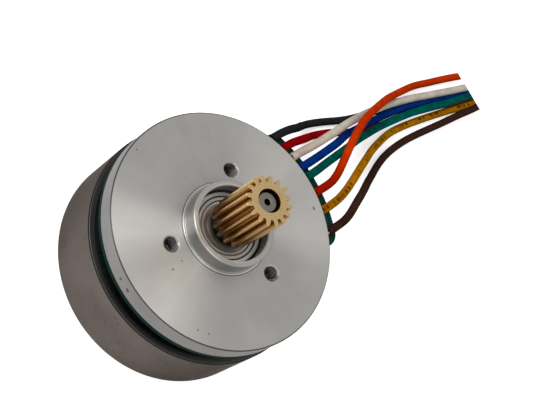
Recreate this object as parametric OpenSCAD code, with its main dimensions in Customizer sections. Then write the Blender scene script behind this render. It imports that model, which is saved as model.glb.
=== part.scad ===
// Outer-rotor brushless DC motor with a brass spur pinion and eight free leads.
// Z is the shaft axis and points to the pinion. The mounting face lies at z = 0.
// The rotor cup hangs below the circuit board, and the motor rests on its back.

/* [Front flange] */
// Diameter of the front flange
flange_d = 70; // [68:0.5:74]
// Thickness of the flange at its rim
flange_t = 6.3; // [5.8:0.1:8]
// Chamfer on the flange's edges
flange_edge = 0.3; // [0.1:0.1:0.6]
// Diameter of the centring boss
boss_d = 25.4; // [25:0.1:27]
// Height of the centring boss above the mounting face
boss_h = 5.25; // [4.5:0.25:6.5]
// Width of the step round the foot of the boss
foot_w = 0.8; // [0.4:0.1:1.2]
// Height of the step round the foot of the boss
foot_h = 0.35; // [0.2:0.05:0.6]
// Depth of the front bearing below the top of the boss
bearing_recess = 4.45; // [3.5:0.05:5.5]
// Depth of the pocket behind the flange that clears the solder on the board
pocket_depth = 2; // [1:0.25:3]

/* [Mounting holes] */
// Number of tapped holes in the mounting face
hole_count = 3; // [2:1:6]
// Diameter of the circle that the tapped holes lie on
hole_pcd = 36.5; // [33:0.5:38]
// Thread diameter of the tapped holes
hole_d = 4; // [3:0.5:4]
// Full-thread depth of the tapped holes
hole_depth = 4.8; // [3:0.1:5]
// Angle of the first tapped hole from the X axis
hole_turn = 16.8; // [0:0.1:90]

/* [Bearings] */
// Outer diameter of both ball bearings
bearing_od = 22; // [21:0.5:23]
// Bore of both ball bearings
bearing_bore = 8; // [7:0.5:9]
// Width of both ball bearings
bearing_w = 7; // [6.5:0.25:8]
// Diameter of the bearing balls
ball_d = 3.97; // [3.4:0.01:4.1]
// Number of balls in each bearing
ball_count = 7; // [5:1:7]
// Free height of the wave washer that preloads the bearings
washer_h = 0.8; // [0.5:0.1:1.2]

/* [Hub and stator] */
// Outside diameter of the hub tube that carries the stator
hub_d = 26; // [25:0.5:28]
// Diameter of the through bore between the two bearing seats
hub_bore = 17; // [14:0.5:18]
// Length of the stack of laminations
stack_l = 12; // [9:0.5:16]
// Number of stator slots
slots = 12; // [9:3:15]
// Width of each stator tooth
tooth_w = 4.2; // [3.4:0.1:4.4]
// Radial thickness of the yoke behind the teeth
yoke_t = 4.4; // [3.6:0.1:4.8]
// Width of the opening between two tooth tips
slot_open = 2.2; // [1.6:0.1:2.6]
// Thickness of the moulded insulators
liner_t = 0.5; // [0.3:0.1:0.6]
// Thickness of the insulator plates on the ends of the stack
cap_t = 0.8; // [0.5:0.1:1]
// Diameter of the winding wire with its enamel
wire_d = 0.8; // [0.5:0.05:0.85]
// Number of wire layers on each tooth
wire_layers = 3; // [1:1:3]

/* [Rotor] */
// Outside diameter of the rotor cup
cup_d = 71.1; // [70:0.1:76]
// Wall thickness of the rotor cup
cup_wall = 2.3; // [1.8:0.1:3]
// Thickness of the rotor cup's floor
cup_floor = 2.6; // [2:0.1:4]
// Gap between the circuit board and the rim of the rotor cup
rim_gap = 5.5; // [4.5:0.1:8]
// Number of magnets
poles = 16; // [10:2:20]
// Radial thickness of the magnets
magnet_t = 2.7; // [2:0.1:3.2]
// Depth of the magnets below the rim of the cup
magnet_inset = 1.5; // [0.5:0.1:2.5]
// Length of the magnets beyond each end of the stack
magnet_overhang = 1.75; // [0.5:0.05:2]
// Air gap between the magnets and the tooth tips
air_gap = 0.5; // [0.4:0.05:0.8]

/* [Shaft and pinion] */
// Diameter of the shaft between the two bearings
collar_d = 10; // [9.5:0.25:11]
// Bore of the pinion and diameter of the shaft inside it
pinion_bore = 6; // [5:0.25:6.5]
// Gear module of the pinion
gear_module = 0.8; // [0.75:0.01:0.85]
// Number of pinion teeth
teeth = 16; // [15:1:18]
// Pressure angle of the teeth
pressure_angle = 20; // [18:1:22]
// Length of the pinion
pinion_l = 19; // [12:1:30]
// Angle of the first pinion tooth from the X axis
pinion_turn = 3.75; // [0:0.25:22.5]
// Depth of the shaft's end below the pinion's face
shaft_inset = 1.1; // [0.5:0.1:2]
// Thickness of the collar of the spacer ring under the pinion
spacer_t = 1.2; // [0.6:0.1:2]
// Length of the spacer ring's neck between its collar and the pinion
spacer_neck_l = 3; // [1:0.25:5]

/* [Circuit board and leads] */
// Thickness of the circuit board
board_t = 1.2; // [0.8:0.1:1.6]
// Reach of the board's solder tab beyond the flange
tab_reach = 7; // [6:0.25:9]
// Width of the solder tab
tab_w = 37.8; // [36:0.1:46]
// Sideways offset of the solder tab from the Y axis
tab_offset = 1.8; // [0:0.1:2.5]
// Diameter of the leads over their insulation
lead_d = 2.6; // [2:0.1:2.6]
// Diameter of the bare end that is soldered to the board
strand_d = 1.2; // [0.8:0.1:1.5]

/* [Hidden] */
$fn = 96;

// Clearances
fit = 0.02;       // radial clearance of pressed and glued pieces
race_gap = 0.05;  // clearance between a ball and its races
cage_gap = 0.1;   // clearance between a ball and its pocket
seal_gap = 0.15;  // running clearance between a shield and the inner ring
nick = 0.4;       // chamfer on bearing rings and turned corners
over = 1;         // length by which a cutting tool passes the surface

// Heights along the shaft
board_top = -flange_t;
board_bottom = board_top - board_t;
rim_z = board_bottom - rim_gap;
magnet_top = rim_z - magnet_inset;
magnet_l = stack_l + 2 * magnet_overhang;
magnet_bottom = magnet_top - magnet_l;
core_top = magnet_top - magnet_overhang;
core_bottom = core_top - stack_l;
coil_end = cap_t + wire_layers * wire_d;  // height of a coil beyond the stack
coil_clear = 0.95;                        // running gap below the coils
floor_z = core_bottom - coil_end - coil_clear;
back_z = floor_z - cup_floor;
hub_clear = 2.5;                          // gap between the hub and the cup's floor
hub_end = floor_z + hub_clear;
rear_bearing_top = hub_end + bearing_w;
rear_shoulder = rear_bearing_top + washer_h;
front_bearing_top = boss_h - bearing_recess;
front_shoulder = front_bearing_top - bearing_w;
pinion_z = front_bearing_top + spacer_t + spacer_neck_l;
pinion_top = pinion_z + pinion_l;
shaft_top = pinion_top - shaft_inset;
shaft_bottom = back_z + nick;

// Radii of the stator and the rotor
cup_r = cup_d / 2;
cup_inner_r = cup_r - cup_wall;
magnet_outer_r = cup_inner_r - fit;
magnet_inner_r = magnet_outer_r - magnet_t;
ledge_w = 1.2;                            // ledge in the cup that the magnets stand on
core_r = magnet_inner_r - air_gap;
hub_r = hub_d / 2;
yoke_r = hub_r + fit + yoke_t;
tip_depth = 3;                            // depth of a tooth's tip at its neck
tip_edge = 1.3;                           // thickness of a tooth's tip at its edge
neck_r = core_r - tip_depth;
tip_half_angle = 180 / slots - asin(slot_open / 2 / core_r);
slot_angle = 360 / slots;
coil_inner_r = yoke_r + liner_t + fit;
coil_outer_r = neck_r - liner_t;
coil_gap = 0.15;                          // gap between a coil and the middle of its slot
lip_h = 2;                                // height of the insulator's lips
lip_w = 1;                                // radial thickness of the insulator's lips
lip_relief = 5.5;                         // angle left free beside each lip for the sensors

// Bearing section, from the face inwards
pitch_r = (bearing_od + bearing_bore) / 4;
ball_r = ball_d / 2;
land = 0.365 * ball_d;                    // distance of a ring's land from the pitch circle
inner_land_r = pitch_r - land;
outer_land_r = pitch_r + land;
shield_seat_r = outer_land_r + 0.35;
shield_t = 0.3;
shield_depth = 0.5;                       // depth of the shield's rim below the ring's face
shield_rim_w = 0.2;
shield_band_w = 0.8;                      // flat band inside the rim
shield_band_depth = 0.12;
shield_groove_w = 0.3;                    // groove inside the band
shield_groove_depth = 0.4;
shield_bead_w = 0.35;                     // raised bead inside the groove
shield_dish = 0.12;                       // depth of the flat dish inside the bead
shield_slope = 0.08;                      // width of each slope between them
cage_half_w = 0.75;
cage_low = ball_r + 0.5;
cage_high = 1.2;

// Flange details
seat_r = bearing_od / 2 + fit;
drill_r = 0.41 * hole_d;                  // tapping drill
drill_tip = 0.6;                          // cone left by the drill, as height over radius
hole_edge = 0.5;
pocket_inner_r = hole_pcd / 2 + hole_d / 2 + 0.9;
pocket_outer_r = flange_d / 2 - 5;
screw_r = flange_d / 2 - 2.8;             // circle of the board's screws
screw_count = 3;
screw_turn = 40;
screw_d = 2;
screw_head_d = 3.8;
screw_head_h = 1.3;
screw_l = 4;
screw_slack = 0.1;
hub_gap = 0.5;            // clearance of the board and the insulators round the hub
cross_w = 0.5;

// Circuit board details
board_d = flange_d;
tab_r = board_d / 2 + tab_reach;
tab_left = tab_offset - tab_w / 2;
tab_right = tab_offset + tab_w / 2;
tab_corner = 4.5;
tab_lap = 0.05;                           // lap of the corner circles over the tab's arc
exit_r = board_d / 2 + 3.5;               // circle on which the leads leave their solder
dome_r = 1.4;
dome_h = 1.9;
dome_back = 1.6;                          // distance of the solder behind the lead's end
lead_x = [-15.5, -11.3, -7.6, -3.6, -0.3, 5.1, 10.7, 17];

// Hall sensors stand in three neighbouring slot openings, above the stack.
hall_slots = [2, 3, 4];
hall_w = 4;
hall_t = 1.5;
hall_h = 3;
hall_leg = 0.4;
hall_pitch = 1.27;
hall_lift = 0.2;

// Coils whose ends run up to the board
phase_teeth = [2, 3, 4];
phase_d = 1;

// Spacer ring
spacer_step = 0.05;       // step in from the edge of the bearing's inner ring
spacer_neck_step = 0.3;   // step in from the roots of the pinion's teeth

// Pinion tooth
pitch_pinion_r = gear_module * teeth / 2;
tip_r = pitch_pinion_r + gear_module;
root_r = pitch_pinion_r - 1.25 * gear_module;
base_r = pitch_pinion_r * cos(pressure_angle);
flank_steps = 7;
root_fillet = 0.3;
mouth_r = pinion_bore / 2 + 0.35;         // counterbore at the pinion's outer end
mouth_depth = 2.5;
pinion_edge = 0.25;
centre_r = 1;
centre_pilot_r = 0.5;
centre_depth = 3;

// Routes of the leads beyond their solder, as centre points down to the cut end
black_route = [
    [-15.5, 39, -5], [-15.3, 43, -6], [-14.8, 49.8, -10], [-14.9, 55.9, -15.2],
    [-15.2, 61.2, -21.2], [-15.4, 66.3, -27.2], [-15.3, 72.8, -32], [-13.6, 80.2, -33.7],
    [-10.8, 87.9, -33.7], [-8.8, 95.4, -33.7], [-7.4, 103.4, -33.7], [-6, 111.4, -33.7],
    [-4.6, 119.4, -33.7], [-2.8, 127.4, -33.7], [-0.8, 135.4, -33.7], [1.4, 142.9, -33.7],
    [2.9, 149.7, -33.7]
];
red_route = [
    [-11.3, 41, -5], [-10.9, 45, -6.2], [-10.6, 51.6, -10.5], [-10.8, 57.1, -16.5],
    [-11, 62.2, -22.5], [-11.2, 67.1, -28.2], [-11, 73.1, -32.5], [-9.5, 79.6, -33.7],
    [-6.6, 86.6, -33.7], [-3.8, 93.5, -33.7], [-2.3, 101, -33.7], [-1.3, 111.4, -33.7],
    [0, 119.4, -33.7], [1.7, 127.4, -33.7], [3.7, 135.4, -33.7], [6.2, 142.9, -33.7],
    [7.6, 149.5, -33.7]
];
white_route = [
    [-7.6, 41, -5], [-7.4, 46, -5.1], [-7.4, 53.5, -6.2], [-7.6, 61, -8.5],
    [-7.9, 68.5, -11.5], [-8, 76, -15], [-8, 83, -18.7], [-7.9, 90, -22.4],
    [-7.5, 97.5, -25.5], [-6.9, 105, -28], [-5.8, 112.4, -29.6], [-4.2, 119.8, -30],
    [-2.2, 127.1, -29.8], [-0.2, 134.4, -29.7], [1.8, 142.3, -29.9], [2.6, 145.7, -30]
];
blue_route = [
    [-3.6, 41.5, -5], [-3.7, 46.5, -5.5], [-4, 54, -7.4], [-4.4, 61.5, -10.5],
    [-5, 68.5, -14.4], [-5.3, 75, -18.8], [-5.2, 82, -23.1], [-5.2, 88.5, -26.8],
    [-4.9, 96, -29.8], [-4.5, 103.5, -31.6], [-3.7, 111.5, -32.1], [-2.3, 119.4, -32.1],
    [-0.6, 127.4, -32.1], [1.5, 135.3, -32], [3.8, 142.8, -32.1], [5, 147.9, -32.1]
];
green_route = [
    [-0.3, 41.5, -5], [-0.6, 46.5, -5.3], [-1, 54, -7.2], [-1.3, 61.5, -10.2],
    [-1.6, 68.5, -14], [-1.9, 75.5, -18.2], [-2, 82.5, -22.3], [-2, 89.5, -26],
    [-1.9, 97, -28.7], [-1.4, 104.5, -30], [-0.5, 112.4, -30], [0.7, 119.7, -30],
    [2.2, 126.9, -30], [4, 135, -30], [5.5, 142.8, -30], [6.2, 145.5, -30]
];
orange_route = [
    [5.1, 41.5, -5], [4.9, 46, -5], [2.1, 53.4, -5], [-1.3, 60.9, -6],
    [-3.8, 68, -7.9], [-5.8, 75.4, -10.6], [-6.9, 82.4, -13.8], [-7.6, 89.5, -17.4],
    [-8.2, 97, -21.3], [-8.6, 104, -24.8], [-8.6, 111, -28], [-8.4, 118.4, -30.8],
    [-7.8, 126.4, -32.8], [-6.3, 133.7, -33.7], [-4.4, 141.8, -33.7], [-2.3, 149.7, -33.7]
];
yellow_route = [
    [10.7, 40, -5], [10.4, 45, -5.2], [8.9, 52.6, -6.7], [7.1, 60.2, -9.4],
    [5.7, 67.3, -12.9], [4.6, 74.3, -17], [3.7, 80.7, -21.1], [2.9, 87.7, -25.1],
    [2.3, 94.6, -28.8], [1.8, 102.2, -31.9], [2.1, 110.2, -33.7], [3.1, 117.7, -33.7],
    [4.4, 125.4, -33.7], [6.1, 134, -33.4], [7.9, 141, -32], [9.1, 147.4, -31.8]
];
brown_route = [
    [17, 38, -5], [16.8, 42.6, -5.2], [15, 50.3, -7], [13.4, 57.5, -10],
    [12.1, 64.6, -14.2], [11.2, 71, -18.7], [10.4, 77.5, -23.3], [9.5, 83.9, -27.6],
    [8.2, 91.2, -31], [7.2, 98.6, -33.2], [6.8, 106.5, -33.7], [7.2, 114.3, -33.5],
    [8, 121.4, -32.8], [8.8, 128.5, -32], [9.5, 135.6, -31.5], [10.4, 142.3, -30.2],
    [10.7, 145.3, -29.9]
];
lead_sides = 8;
// One slanting snip through the bundle cuts all of them: the normal of its plane
snip = [0.0262, 0.6777, 0.7349];

// Small helpers

function polar(r, a) = [r * cos(a), r * sin(a)];

function deg(x) = x * 180 / PI;

function unit(v) = v / norm(v);

// Arc of points about a centre, from angle a to angle b
function arc(centre, r, a, b, steps) = [
    for (i = [0:steps]) centre + polar(r, a + (b - a) * i / steps)
];

module turned(points) {
    rotate_extrude() polygon(points);
}

module ring(outer_r, inner_r, z, h) {
    translate([0, 0, z]) linear_extrude(h) difference() {
        circle(r = outer_r);
        circle(r = inner_r);
    }
}

module each_slot(turn = 0) {
    for (i = [0:slots - 1]) rotate([0, 0, turn + i * slot_angle]) children();
}

// Front flange: disc, centring boss, hub tube and two bearing seats in one turned piece

module flange_section() {
    polygon([
        [seat_r + nick, boss_h],
        [boss_d / 2 - flange_edge, boss_h],
        [boss_d / 2, boss_h - flange_edge],
        [boss_d / 2, foot_h],
        [boss_d / 2 + foot_w, foot_h],
        [boss_d / 2 + foot_w, 0],
        [flange_d / 2 - flange_edge, 0],
        [flange_d / 2, -flange_edge],
        [flange_d / 2, board_top + flange_edge],
        [flange_d / 2 - flange_edge, board_top],
        [pocket_outer_r, board_top],
        [pocket_outer_r, board_top + pocket_depth],
        [pocket_inner_r, board_top + pocket_depth],
        [pocket_inner_r, board_top],
        [hub_r, board_top],
        [hub_r, hub_end + nick],
        [hub_r - nick, hub_end],
        [seat_r, hub_end],
        [seat_r, rear_shoulder],
        [hub_bore / 2, rear_shoulder],
        [hub_bore / 2, front_shoulder],
        [seat_r, front_shoulder],
        [seat_r, boss_h - nick]
    ]);
}

module tapped_hole() {
    translate([0, 0, -hole_depth]) cylinder(d = hole_d, h = hole_depth + over);
    translate([0, 0, -hole_depth - drill_tip * drill_r])
        cylinder(r1 = 0, r2 = drill_r, h = drill_tip * drill_r);
    translate([0, 0, -hole_edge])
        cylinder(r1 = hole_d / 2, r2 = hole_d / 2 + 2 * hole_edge, h = 2 * hole_edge);
}

module front_flange() {
    color("gainsboro") difference() {
        rotate_extrude() flange_section();
        for (i = [0:hole_count - 1])
            rotate([0, 0, hole_turn + i * 360 / hole_count])
                translate([hole_pcd / 2, 0, 0]) tapped_hole();
        board_screw_places()
            translate([0, 0, board_top - over]) cylinder(d = screw_d + 2 * fit, h = screw_l + over);
    }
}

// Ball bearings: each is drawn about its own middle plane

module bearing_outer_ring() {
    h = bearing_w / 2;
    ledge = shield_depth + shield_t;
    difference() {
        turned([
            [outer_land_r, -h + ledge], [shield_seat_r, -h + ledge], [shield_seat_r, -h],
            [bearing_od / 2 - nick, -h], [bearing_od / 2, -h + nick],
            [bearing_od / 2, h - nick], [bearing_od / 2 - nick, h],
            [shield_seat_r, h], [shield_seat_r, h - ledge], [outer_land_r, h - ledge]
        ]);
        race_groove();
    }
}

module bearing_inner_ring() {
    h = bearing_w / 2;
    difference() {
        turned([
            [bearing_bore / 2, -h + nick], [bearing_bore / 2 + nick, -h], [inner_land_r, -h],
            [inner_land_r, h], [bearing_bore / 2 + nick, h], [bearing_bore / 2, h - nick]
        ]);
        race_groove();
    }
}

module race_groove() {
    rotate_extrude() translate([pitch_r, 0]) circle(r = ball_r + race_gap);
}

module ball_places() {
    for (i = [0:ball_count - 1])
        rotate([0, 0, i * 360 / ball_count]) translate([pitch_r, 0, 0]) children();
}

module bearing_balls() {
    ball_places() sphere(r = ball_r);
}

// Crown cage, open upwards, so the balls snap in
module bearing_cage() {
    difference() {
        ring(pitch_r + cage_half_w, pitch_r - cage_half_w, -cage_low, cage_low + cage_high);
        ball_places() sphere(r = ball_r + cage_gap);
    }
}

// Pressed shield with a bead, seated in the outer ring
module shield() {
    rim = shield_seat_r - fit;
    inner = inner_land_r + seal_gap;
    band = rim - shield_rim_w - shield_slope;
    groove = band - shield_band_w - shield_slope;
    bead = groove - shield_groove_w - shield_slope;
    top = [
        [rim, -shield_depth], [rim - shield_rim_w, -shield_depth],
        [band, -shield_band_depth], [band - shield_band_w, -shield_band_depth],
        [groove, -shield_groove_depth], [groove - shield_groove_w, -shield_groove_depth],
        [bead, 0], [bead - shield_bead_w, -shield_dish], [inner, -shield_dish]
    ];
    under = [for (i = [len(top) - 1:-1:0]) top[i] - [0, shield_t]];
    turned(concat(top, under));
}

module bearing_shields() {
    for (side = [0, 1]) mirror([0, 0, side]) translate([0, 0, bearing_w / 2]) shield();
}

module at_front_bearing() {
    translate([0, 0, front_bearing_top - bearing_w / 2]) children();
}

module at_rear_bearing() {
    translate([0, 0, hub_end + bearing_w / 2]) children();
}

module front_bearing_outer_ring() {
    color("silver") at_front_bearing() bearing_outer_ring();
}

module front_bearing_inner_ring() {
    color("silver") at_front_bearing() bearing_inner_ring();
}

module front_bearing_balls() {
    color("white") at_front_bearing() bearing_balls();
}

module front_bearing_cage() {
    color("goldenrod") at_front_bearing() bearing_cage();
}

module front_bearing_shields() {
    color("darkgray") at_front_bearing() bearing_shields();
}

module rear_bearing_outer_ring() {
    color("silver") at_rear_bearing() bearing_outer_ring();
}

module rear_bearing_inner_ring() {
    color("silver") at_rear_bearing() bearing_inner_ring();
}

module rear_bearing_balls() {
    color("white") at_rear_bearing() bearing_balls();
}

module rear_bearing_cage() {
    color("goldenrod") at_rear_bearing() bearing_cage();
}

module rear_bearing_shields() {
    color("darkgray") at_rear_bearing() bearing_shields();
}

// Wave washer: a flat spring ring with three waves, between the hub and the rear bearing

washer_outer_r = bearing_od / 2 - 0.2;
washer_inner_r = bearing_od / 2 - 1.7;
washer_sheet = 0.3;
washer_waves = 3;
washer_steps = 36;

function washer_ring(r, lift) = [
    for (i = [0:washer_steps - 1])
        let (a = i * 360 / washer_steps)
        [r * cos(a), r * sin(a), lift + (washer_h - washer_sheet) / 2 * (1 + sin(washer_waves * a))]
];

module wave_washer() {
    n = washer_steps;
    corners = [
        [washer_inner_r, 0], [washer_outer_r, 0],
        [washer_outer_r, washer_sheet], [washer_inner_r, washer_sheet]
    ];
    points = [for (c = corners) each washer_ring(c[0], c[1])];
    faces = [
        for (k = [0:3], i = [0:n - 1])
            let (j = (i + 1) % n, m = (k + 1) % 4)
            each [[k * n + i, m * n + i, m * n + j], [k * n + i, m * n + j, k * n + j]]
    ];
    color("slategray") translate([0, 0, rear_bearing_top]) polyhedron(points, faces);
}

// Stator: laminated core, two moulded insulators and one coil on each tooth

// Plan of one tooth with its tip, pointing along X
module tooth_plan(half_w, r_out) {
    edge = polar(r_out - tip_edge, tip_half_angle);
    side = polar(r_out + over, tip_half_angle);
    polygon([
        [hub_r, -half_w], [neck_r, -half_w], [edge[0], -edge[1]], [side[0], -side[1]],
        side, edge, [neck_r, half_w], [hub_r, half_w]
    ]);
}

module core_plan(half_w, r_in, r_yoke, r_out) {
    difference() {
        intersection() {
            circle(r = r_out);
            union() {
                circle(r = r_yoke);
                each_slot() tooth_plan(half_w, r_out);
            }
        }
        circle(r = r_in);
    }
}

module stator_core() {
    color("dimgray") translate([0, 0, core_bottom])
        linear_extrude(stack_l) core_plan(tooth_w / 2, hub_r + fit, yoke_r, core_r);
}

// One insulator, drawn above the stack's upper end: plate, lips and slot liners
module insulator() {
    linear_extrude(cap_t)
        core_plan(tooth_w / 2 + liner_t, hub_r + hub_gap, yoke_r + liner_t, core_r - liner_t);
    ring(yoke_r - lip_w, yoke_r - 2 * lip_w, 0, cap_t + lip_h);
    each_slot() {
        half = slot_angle / 2 - lip_relief;
        rotate([0, 0, -half]) rotate_extrude(angle = 2 * half)
            translate([neck_r, 0]) square([lip_w, cap_t + lip_h]);
        for (side = [-1, 1])
            translate([yoke_r + fit, side * (tooth_w / 2 + fit + liner_t / 2) - liner_t / 2, 0])
                mirror([0, 0, 1]) cube([neck_r - yoke_r - 2 * fit, liner_t, stack_l / 2 - fit]);
    }
}

module upper_insulator() {
    color("ivory") translate([0, 0, core_top]) insulator();
}

module lower_insulator() {
    color("ivory") translate([0, 0, core_bottom]) mirror([0, 0, 1]) insulator();
}

// Rectangle about the origin with round corners of radius r
module round_rectangle(w, h, r) {
    square([w - 2 * r, h], center = true);
    square([w, h - 2 * r], center = true);
    for (x = [-1, 1], y = [-1, 1])
        translate([x * (w / 2 - r), y * (h / 2 - r)]) circle(r = r);
}

// One coil: each layer starts where its slot is wide enough for it
module coil() {
    w = tooth_w + 2 * liner_t + 4 * fit;
    h = stack_l + 2 * cap_t + 2 * fit;
    for (k = [1:wire_layers]) {
        grow = k * wire_d;
        start = max(coil_inner_r, (w / 2 + grow + coil_gap) / tan(slot_angle / 2));
        translate([start, 0, 0]) rotate([90, 0, 90]) linear_extrude(coil_outer_r - start)
            difference() {
                round_rectangle(w + 2 * grow, h + 2 * grow, grow);
                square([w, h], center = true);
            }
    }
}

module windings() {
    color("peru") translate([0, 0, (core_top + core_bottom) / 2]) each_slot() coil();
}

// Three coil ends, bent up to the board
module phase_wires() {
    low = core_top + coil_end + fit;
    color("peru") for (i = phase_teeth)
        rotate([0, 0, i * slot_angle]) translate([coil_outer_r - phase_d, 0, low])
            cylinder(d = phase_d, h = board_bottom - low);
}

// Circuit board: a disc flush with the flange, with a tab that carries the solder joints

module tab_plan() {
    reach = tab_r - tab_corner + tab_lap;
    left = [tab_left + tab_corner, sqrt(pow(reach, 2) - pow(tab_left + tab_corner, 2))];
    right = [tab_right - tab_corner, sqrt(pow(reach, 2) - pow(tab_right - tab_corner, 2))];
    foot = board_d / 4;
    beyond = tab_r + board_d;
    intersection() {
        circle(r = tab_r);
        union() {
            polygon([
                [tab_left, foot], [tab_left, left[1]], left, unit(left) * beyond,
                unit(right) * beyond, right, [tab_right, right[1]], [tab_right, foot]
            ]);
            translate(left) circle(r = tab_corner);
            translate(right) circle(r = tab_corner);
        }
    }
}

module circuit_board() {
    color("darkslategray") difference() {
        translate([0, 0, board_bottom]) linear_extrude(board_t) difference() {
            union() {
                circle(d = board_d);
                tab_plan();
            }
            circle(r = hub_r + hub_gap);
        }
        board_screw_places() translate([0, 0, board_bottom - over])
            cylinder(d = screw_d + 2 * screw_slack, h = board_t + 2 * over);
    }
}

module board_screw_places() {
    for (i = [0:screw_count - 1])
        rotate([0, 0, screw_turn + i * 360 / screw_count]) translate([screw_r, 0, 0]) children();
}

// Cross-head screws that hold the board, driven from below
module board_screws() {
    color("silver") board_screw_places() translate([0, 0, board_bottom]) difference() {
        union() {
            mirror([0, 0, 1]) cylinder(d1 = screw_head_d, d2 = screw_head_d - 1, h = screw_head_h);
            cylinder(d = screw_d, h = board_t + screw_l - nick);
        }
        for (a = [0, 90]) rotate([0, 0, a]) translate([0, 0, -screw_head_h])
            cube([screw_head_d / 2, cross_w, screw_head_h], center = true);
    }
}

// Flat-pack Hall sensors with three legs each, hanging from the board
module hall_sensors() {
    low = core_top + cap_t + hall_lift;
    color("black") for (i = hall_slots)
        rotate([0, 0, (i + 0.5) * slot_angle])
            translate([neck_r + lip_w, 0, low]) {
                translate([0, -hall_w / 2, 0]) cube([hall_t, hall_w, hall_h]);
                for (k = [-1, 0, 1])
                    translate([hall_t / 2, k * hall_pitch, hall_h])
                        translate([-hall_leg / 2, -hall_leg / 2, 0])
                            cube([hall_leg, hall_leg, board_bottom - low - hall_h]);
            }
}

// Centre of a lead's stripped end, where it lies on the tab
function lead_exit(i) = [lead_x[i], sqrt(pow(exit_r, 2) - pow(lead_x[i], 2)), board_top + lead_d / 2];

// Solder domes on the tab with the bare strand that enters each lead
module solder_joints() {
    color("lightgray") for (i = [0:len(lead_x) - 1])
        translate(lead_exit(i) - [0, dome_back, lead_d / 2]) {
            turned(concat([[0, 0]], [for (a = [0:15:90]) [dome_r * cos(a), dome_h * sin(a)]]));
            translate([0, 0, lead_d / 2]) rotate([-90, 0, 0]) cylinder(d = strand_d, h = dome_back);
        }
}

// Leads: a tube swept along its route, with a ring at each point

function tangent(path, i) = unit(path[min(i + 1, len(path) - 1)] - path[max(i - 1, 0)]);

// The last ring lies in the plane of the snip, the others square to the path
function tube_ring(path, i, r) =
    let (
        t = tangent(path, i),
        side = unit(cross(t, [0, 0, 1])),
        up = cross(side, t),
        slant = i < len(path) - 1 ? [0, 0, 0] : snip / (t * snip)
    )
    [for (k = [0:lead_sides - 1])
        let (
            a = (k + 0.5) * 360 / lead_sides,
            out = r * (cos(a) * side + sin(a) * up)
        )
        path[i] + out - t * (out * slant)];

module lead(i, route) {
    path = concat([lead_exit(i)], route);
    n = lead_sides;
    last = len(path) - 1;
    points = [for (j = [0:last]) each tube_ring(path, j, lead_d / 2)];
    sides = [
        for (j = [0:last - 1], k = [0:n - 1])
            let (m = (k + 1) % n)
            each [
                [j * n + k, j * n + m, (j + 1) * n + m],
                [j * n + k, (j + 1) * n + m, (j + 1) * n + k]
            ]
    ];
    start_cap = [[for (k = [n - 1:-1:0]) k]];
    end_cap = [[for (k = [0:n - 1]) last * n + k]];
    polyhedron(points, concat(start_cap, sides, end_cap));
}

module lead_black() {
    color("#19202a") lead(0, black_route);
}

module lead_red() {
    color("#af0f19") lead(1, red_route);
}

module lead_white() {
    color("#cdc3b9") lead(2, white_route);
}

module lead_blue() {
    color("#0a3296") lead(3, blue_route);
}

module lead_green() {
    color("#006455") lead(4, green_route);
}

module lead_orange() {
    color("#d7460a") lead(5, orange_route);
}

module lead_yellow() {
    color("#b97d00") lead(6, yellow_route);
}

module lead_brown() {
    color("#3c2823") lead(7, brown_route);
}

// Rotor cup with a ledge for the magnets and a boss that carries the inner ring
module rotor_cup() {
    ledge_r = cup_inner_r - ledge_w;
    fillet = 1.2;
    rim_edge = 0.3;
    boss_r = inner_land_r - nick;
    bore_r = bearing_bore / 2;
    corner = arc([ledge_r - fillet, floor_z + fillet], fillet, 0, -90, 6);
    color("gray") turned(concat(
        [
            [bore_r, back_z + nick], [bore_r + nick, back_z], [cup_r - nick, back_z],
            [cup_r, back_z + nick], [cup_r, rim_z - rim_edge], [cup_r - rim_edge, rim_z],
            [cup_inner_r + rim_edge, rim_z], [cup_inner_r, rim_z - rim_edge],
            [cup_inner_r, magnet_bottom], [ledge_r, magnet_bottom]
        ],
        corner,
        [[boss_r, floor_z], [boss_r, hub_end], [bore_r, hub_end]]
    ));
}

module magnets() {
    gap = 0.5;
    span = 360 / poles - gap;
    color("darkslategray") for (i = [0:poles - 1])
        rotate([0, 0, i * 360 / poles]) translate([0, 0, magnet_bottom])
            rotate_extrude(angle = span) translate([magnet_inner_r, 0])
                square([magnet_t, magnet_l]);
}

// Stepped shaft with a centre drilling at its output end
module shaft() {
    journal_r = bearing_bore / 2 - fit;
    nose_r = pinion_bore / 2 - fit;
    chamfer = 0.28;
    cone_h = (centre_r - centre_pilot_r) / tan(30);
    color("lightsteelblue") turned([
        [0, shaft_bottom], [journal_r - nick, shaft_bottom], [journal_r, shaft_bottom + nick],
        [journal_r, rear_bearing_top], [collar_d / 2, rear_bearing_top],
        [collar_d / 2, front_shoulder], [journal_r, front_shoulder],
        [journal_r, pinion_z], [nose_r, pinion_z], [nose_r, shaft_top - chamfer],
        [nose_r - chamfer, shaft_top], [centre_r, shaft_top],
        [centre_pilot_r, shaft_top - cone_h], [centre_pilot_r, shaft_top - centre_depth],
        [0, shaft_top - centre_depth - centre_pilot_r]
    ]);
}

module spacer_ring() {
    collar_top = front_bearing_top + spacer_t;
    spacer_neck_r = root_r - spacer_neck_step;
    color("#10181a") turned([
        [bearing_bore / 2, front_bearing_top], [inner_land_r - spacer_step, front_bearing_top],
        [inner_land_r - spacer_step, collar_top], [spacer_neck_r, collar_top],
        [spacer_neck_r, pinion_z],
        [bearing_bore / 2, pinion_z]
    ]);
}

// Pinion: involute flanks above the base circle, radial below it, rounded into the root

// Half of a tooth's angle at radius r
function tooth_half(r) =
    let (t = sqrt(max(0, pow(r / base_r, 2) - 1)), p = tan(pressure_angle))
    90 / teeth + deg(p) - pressure_angle - deg(t) + atan(t);

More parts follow.
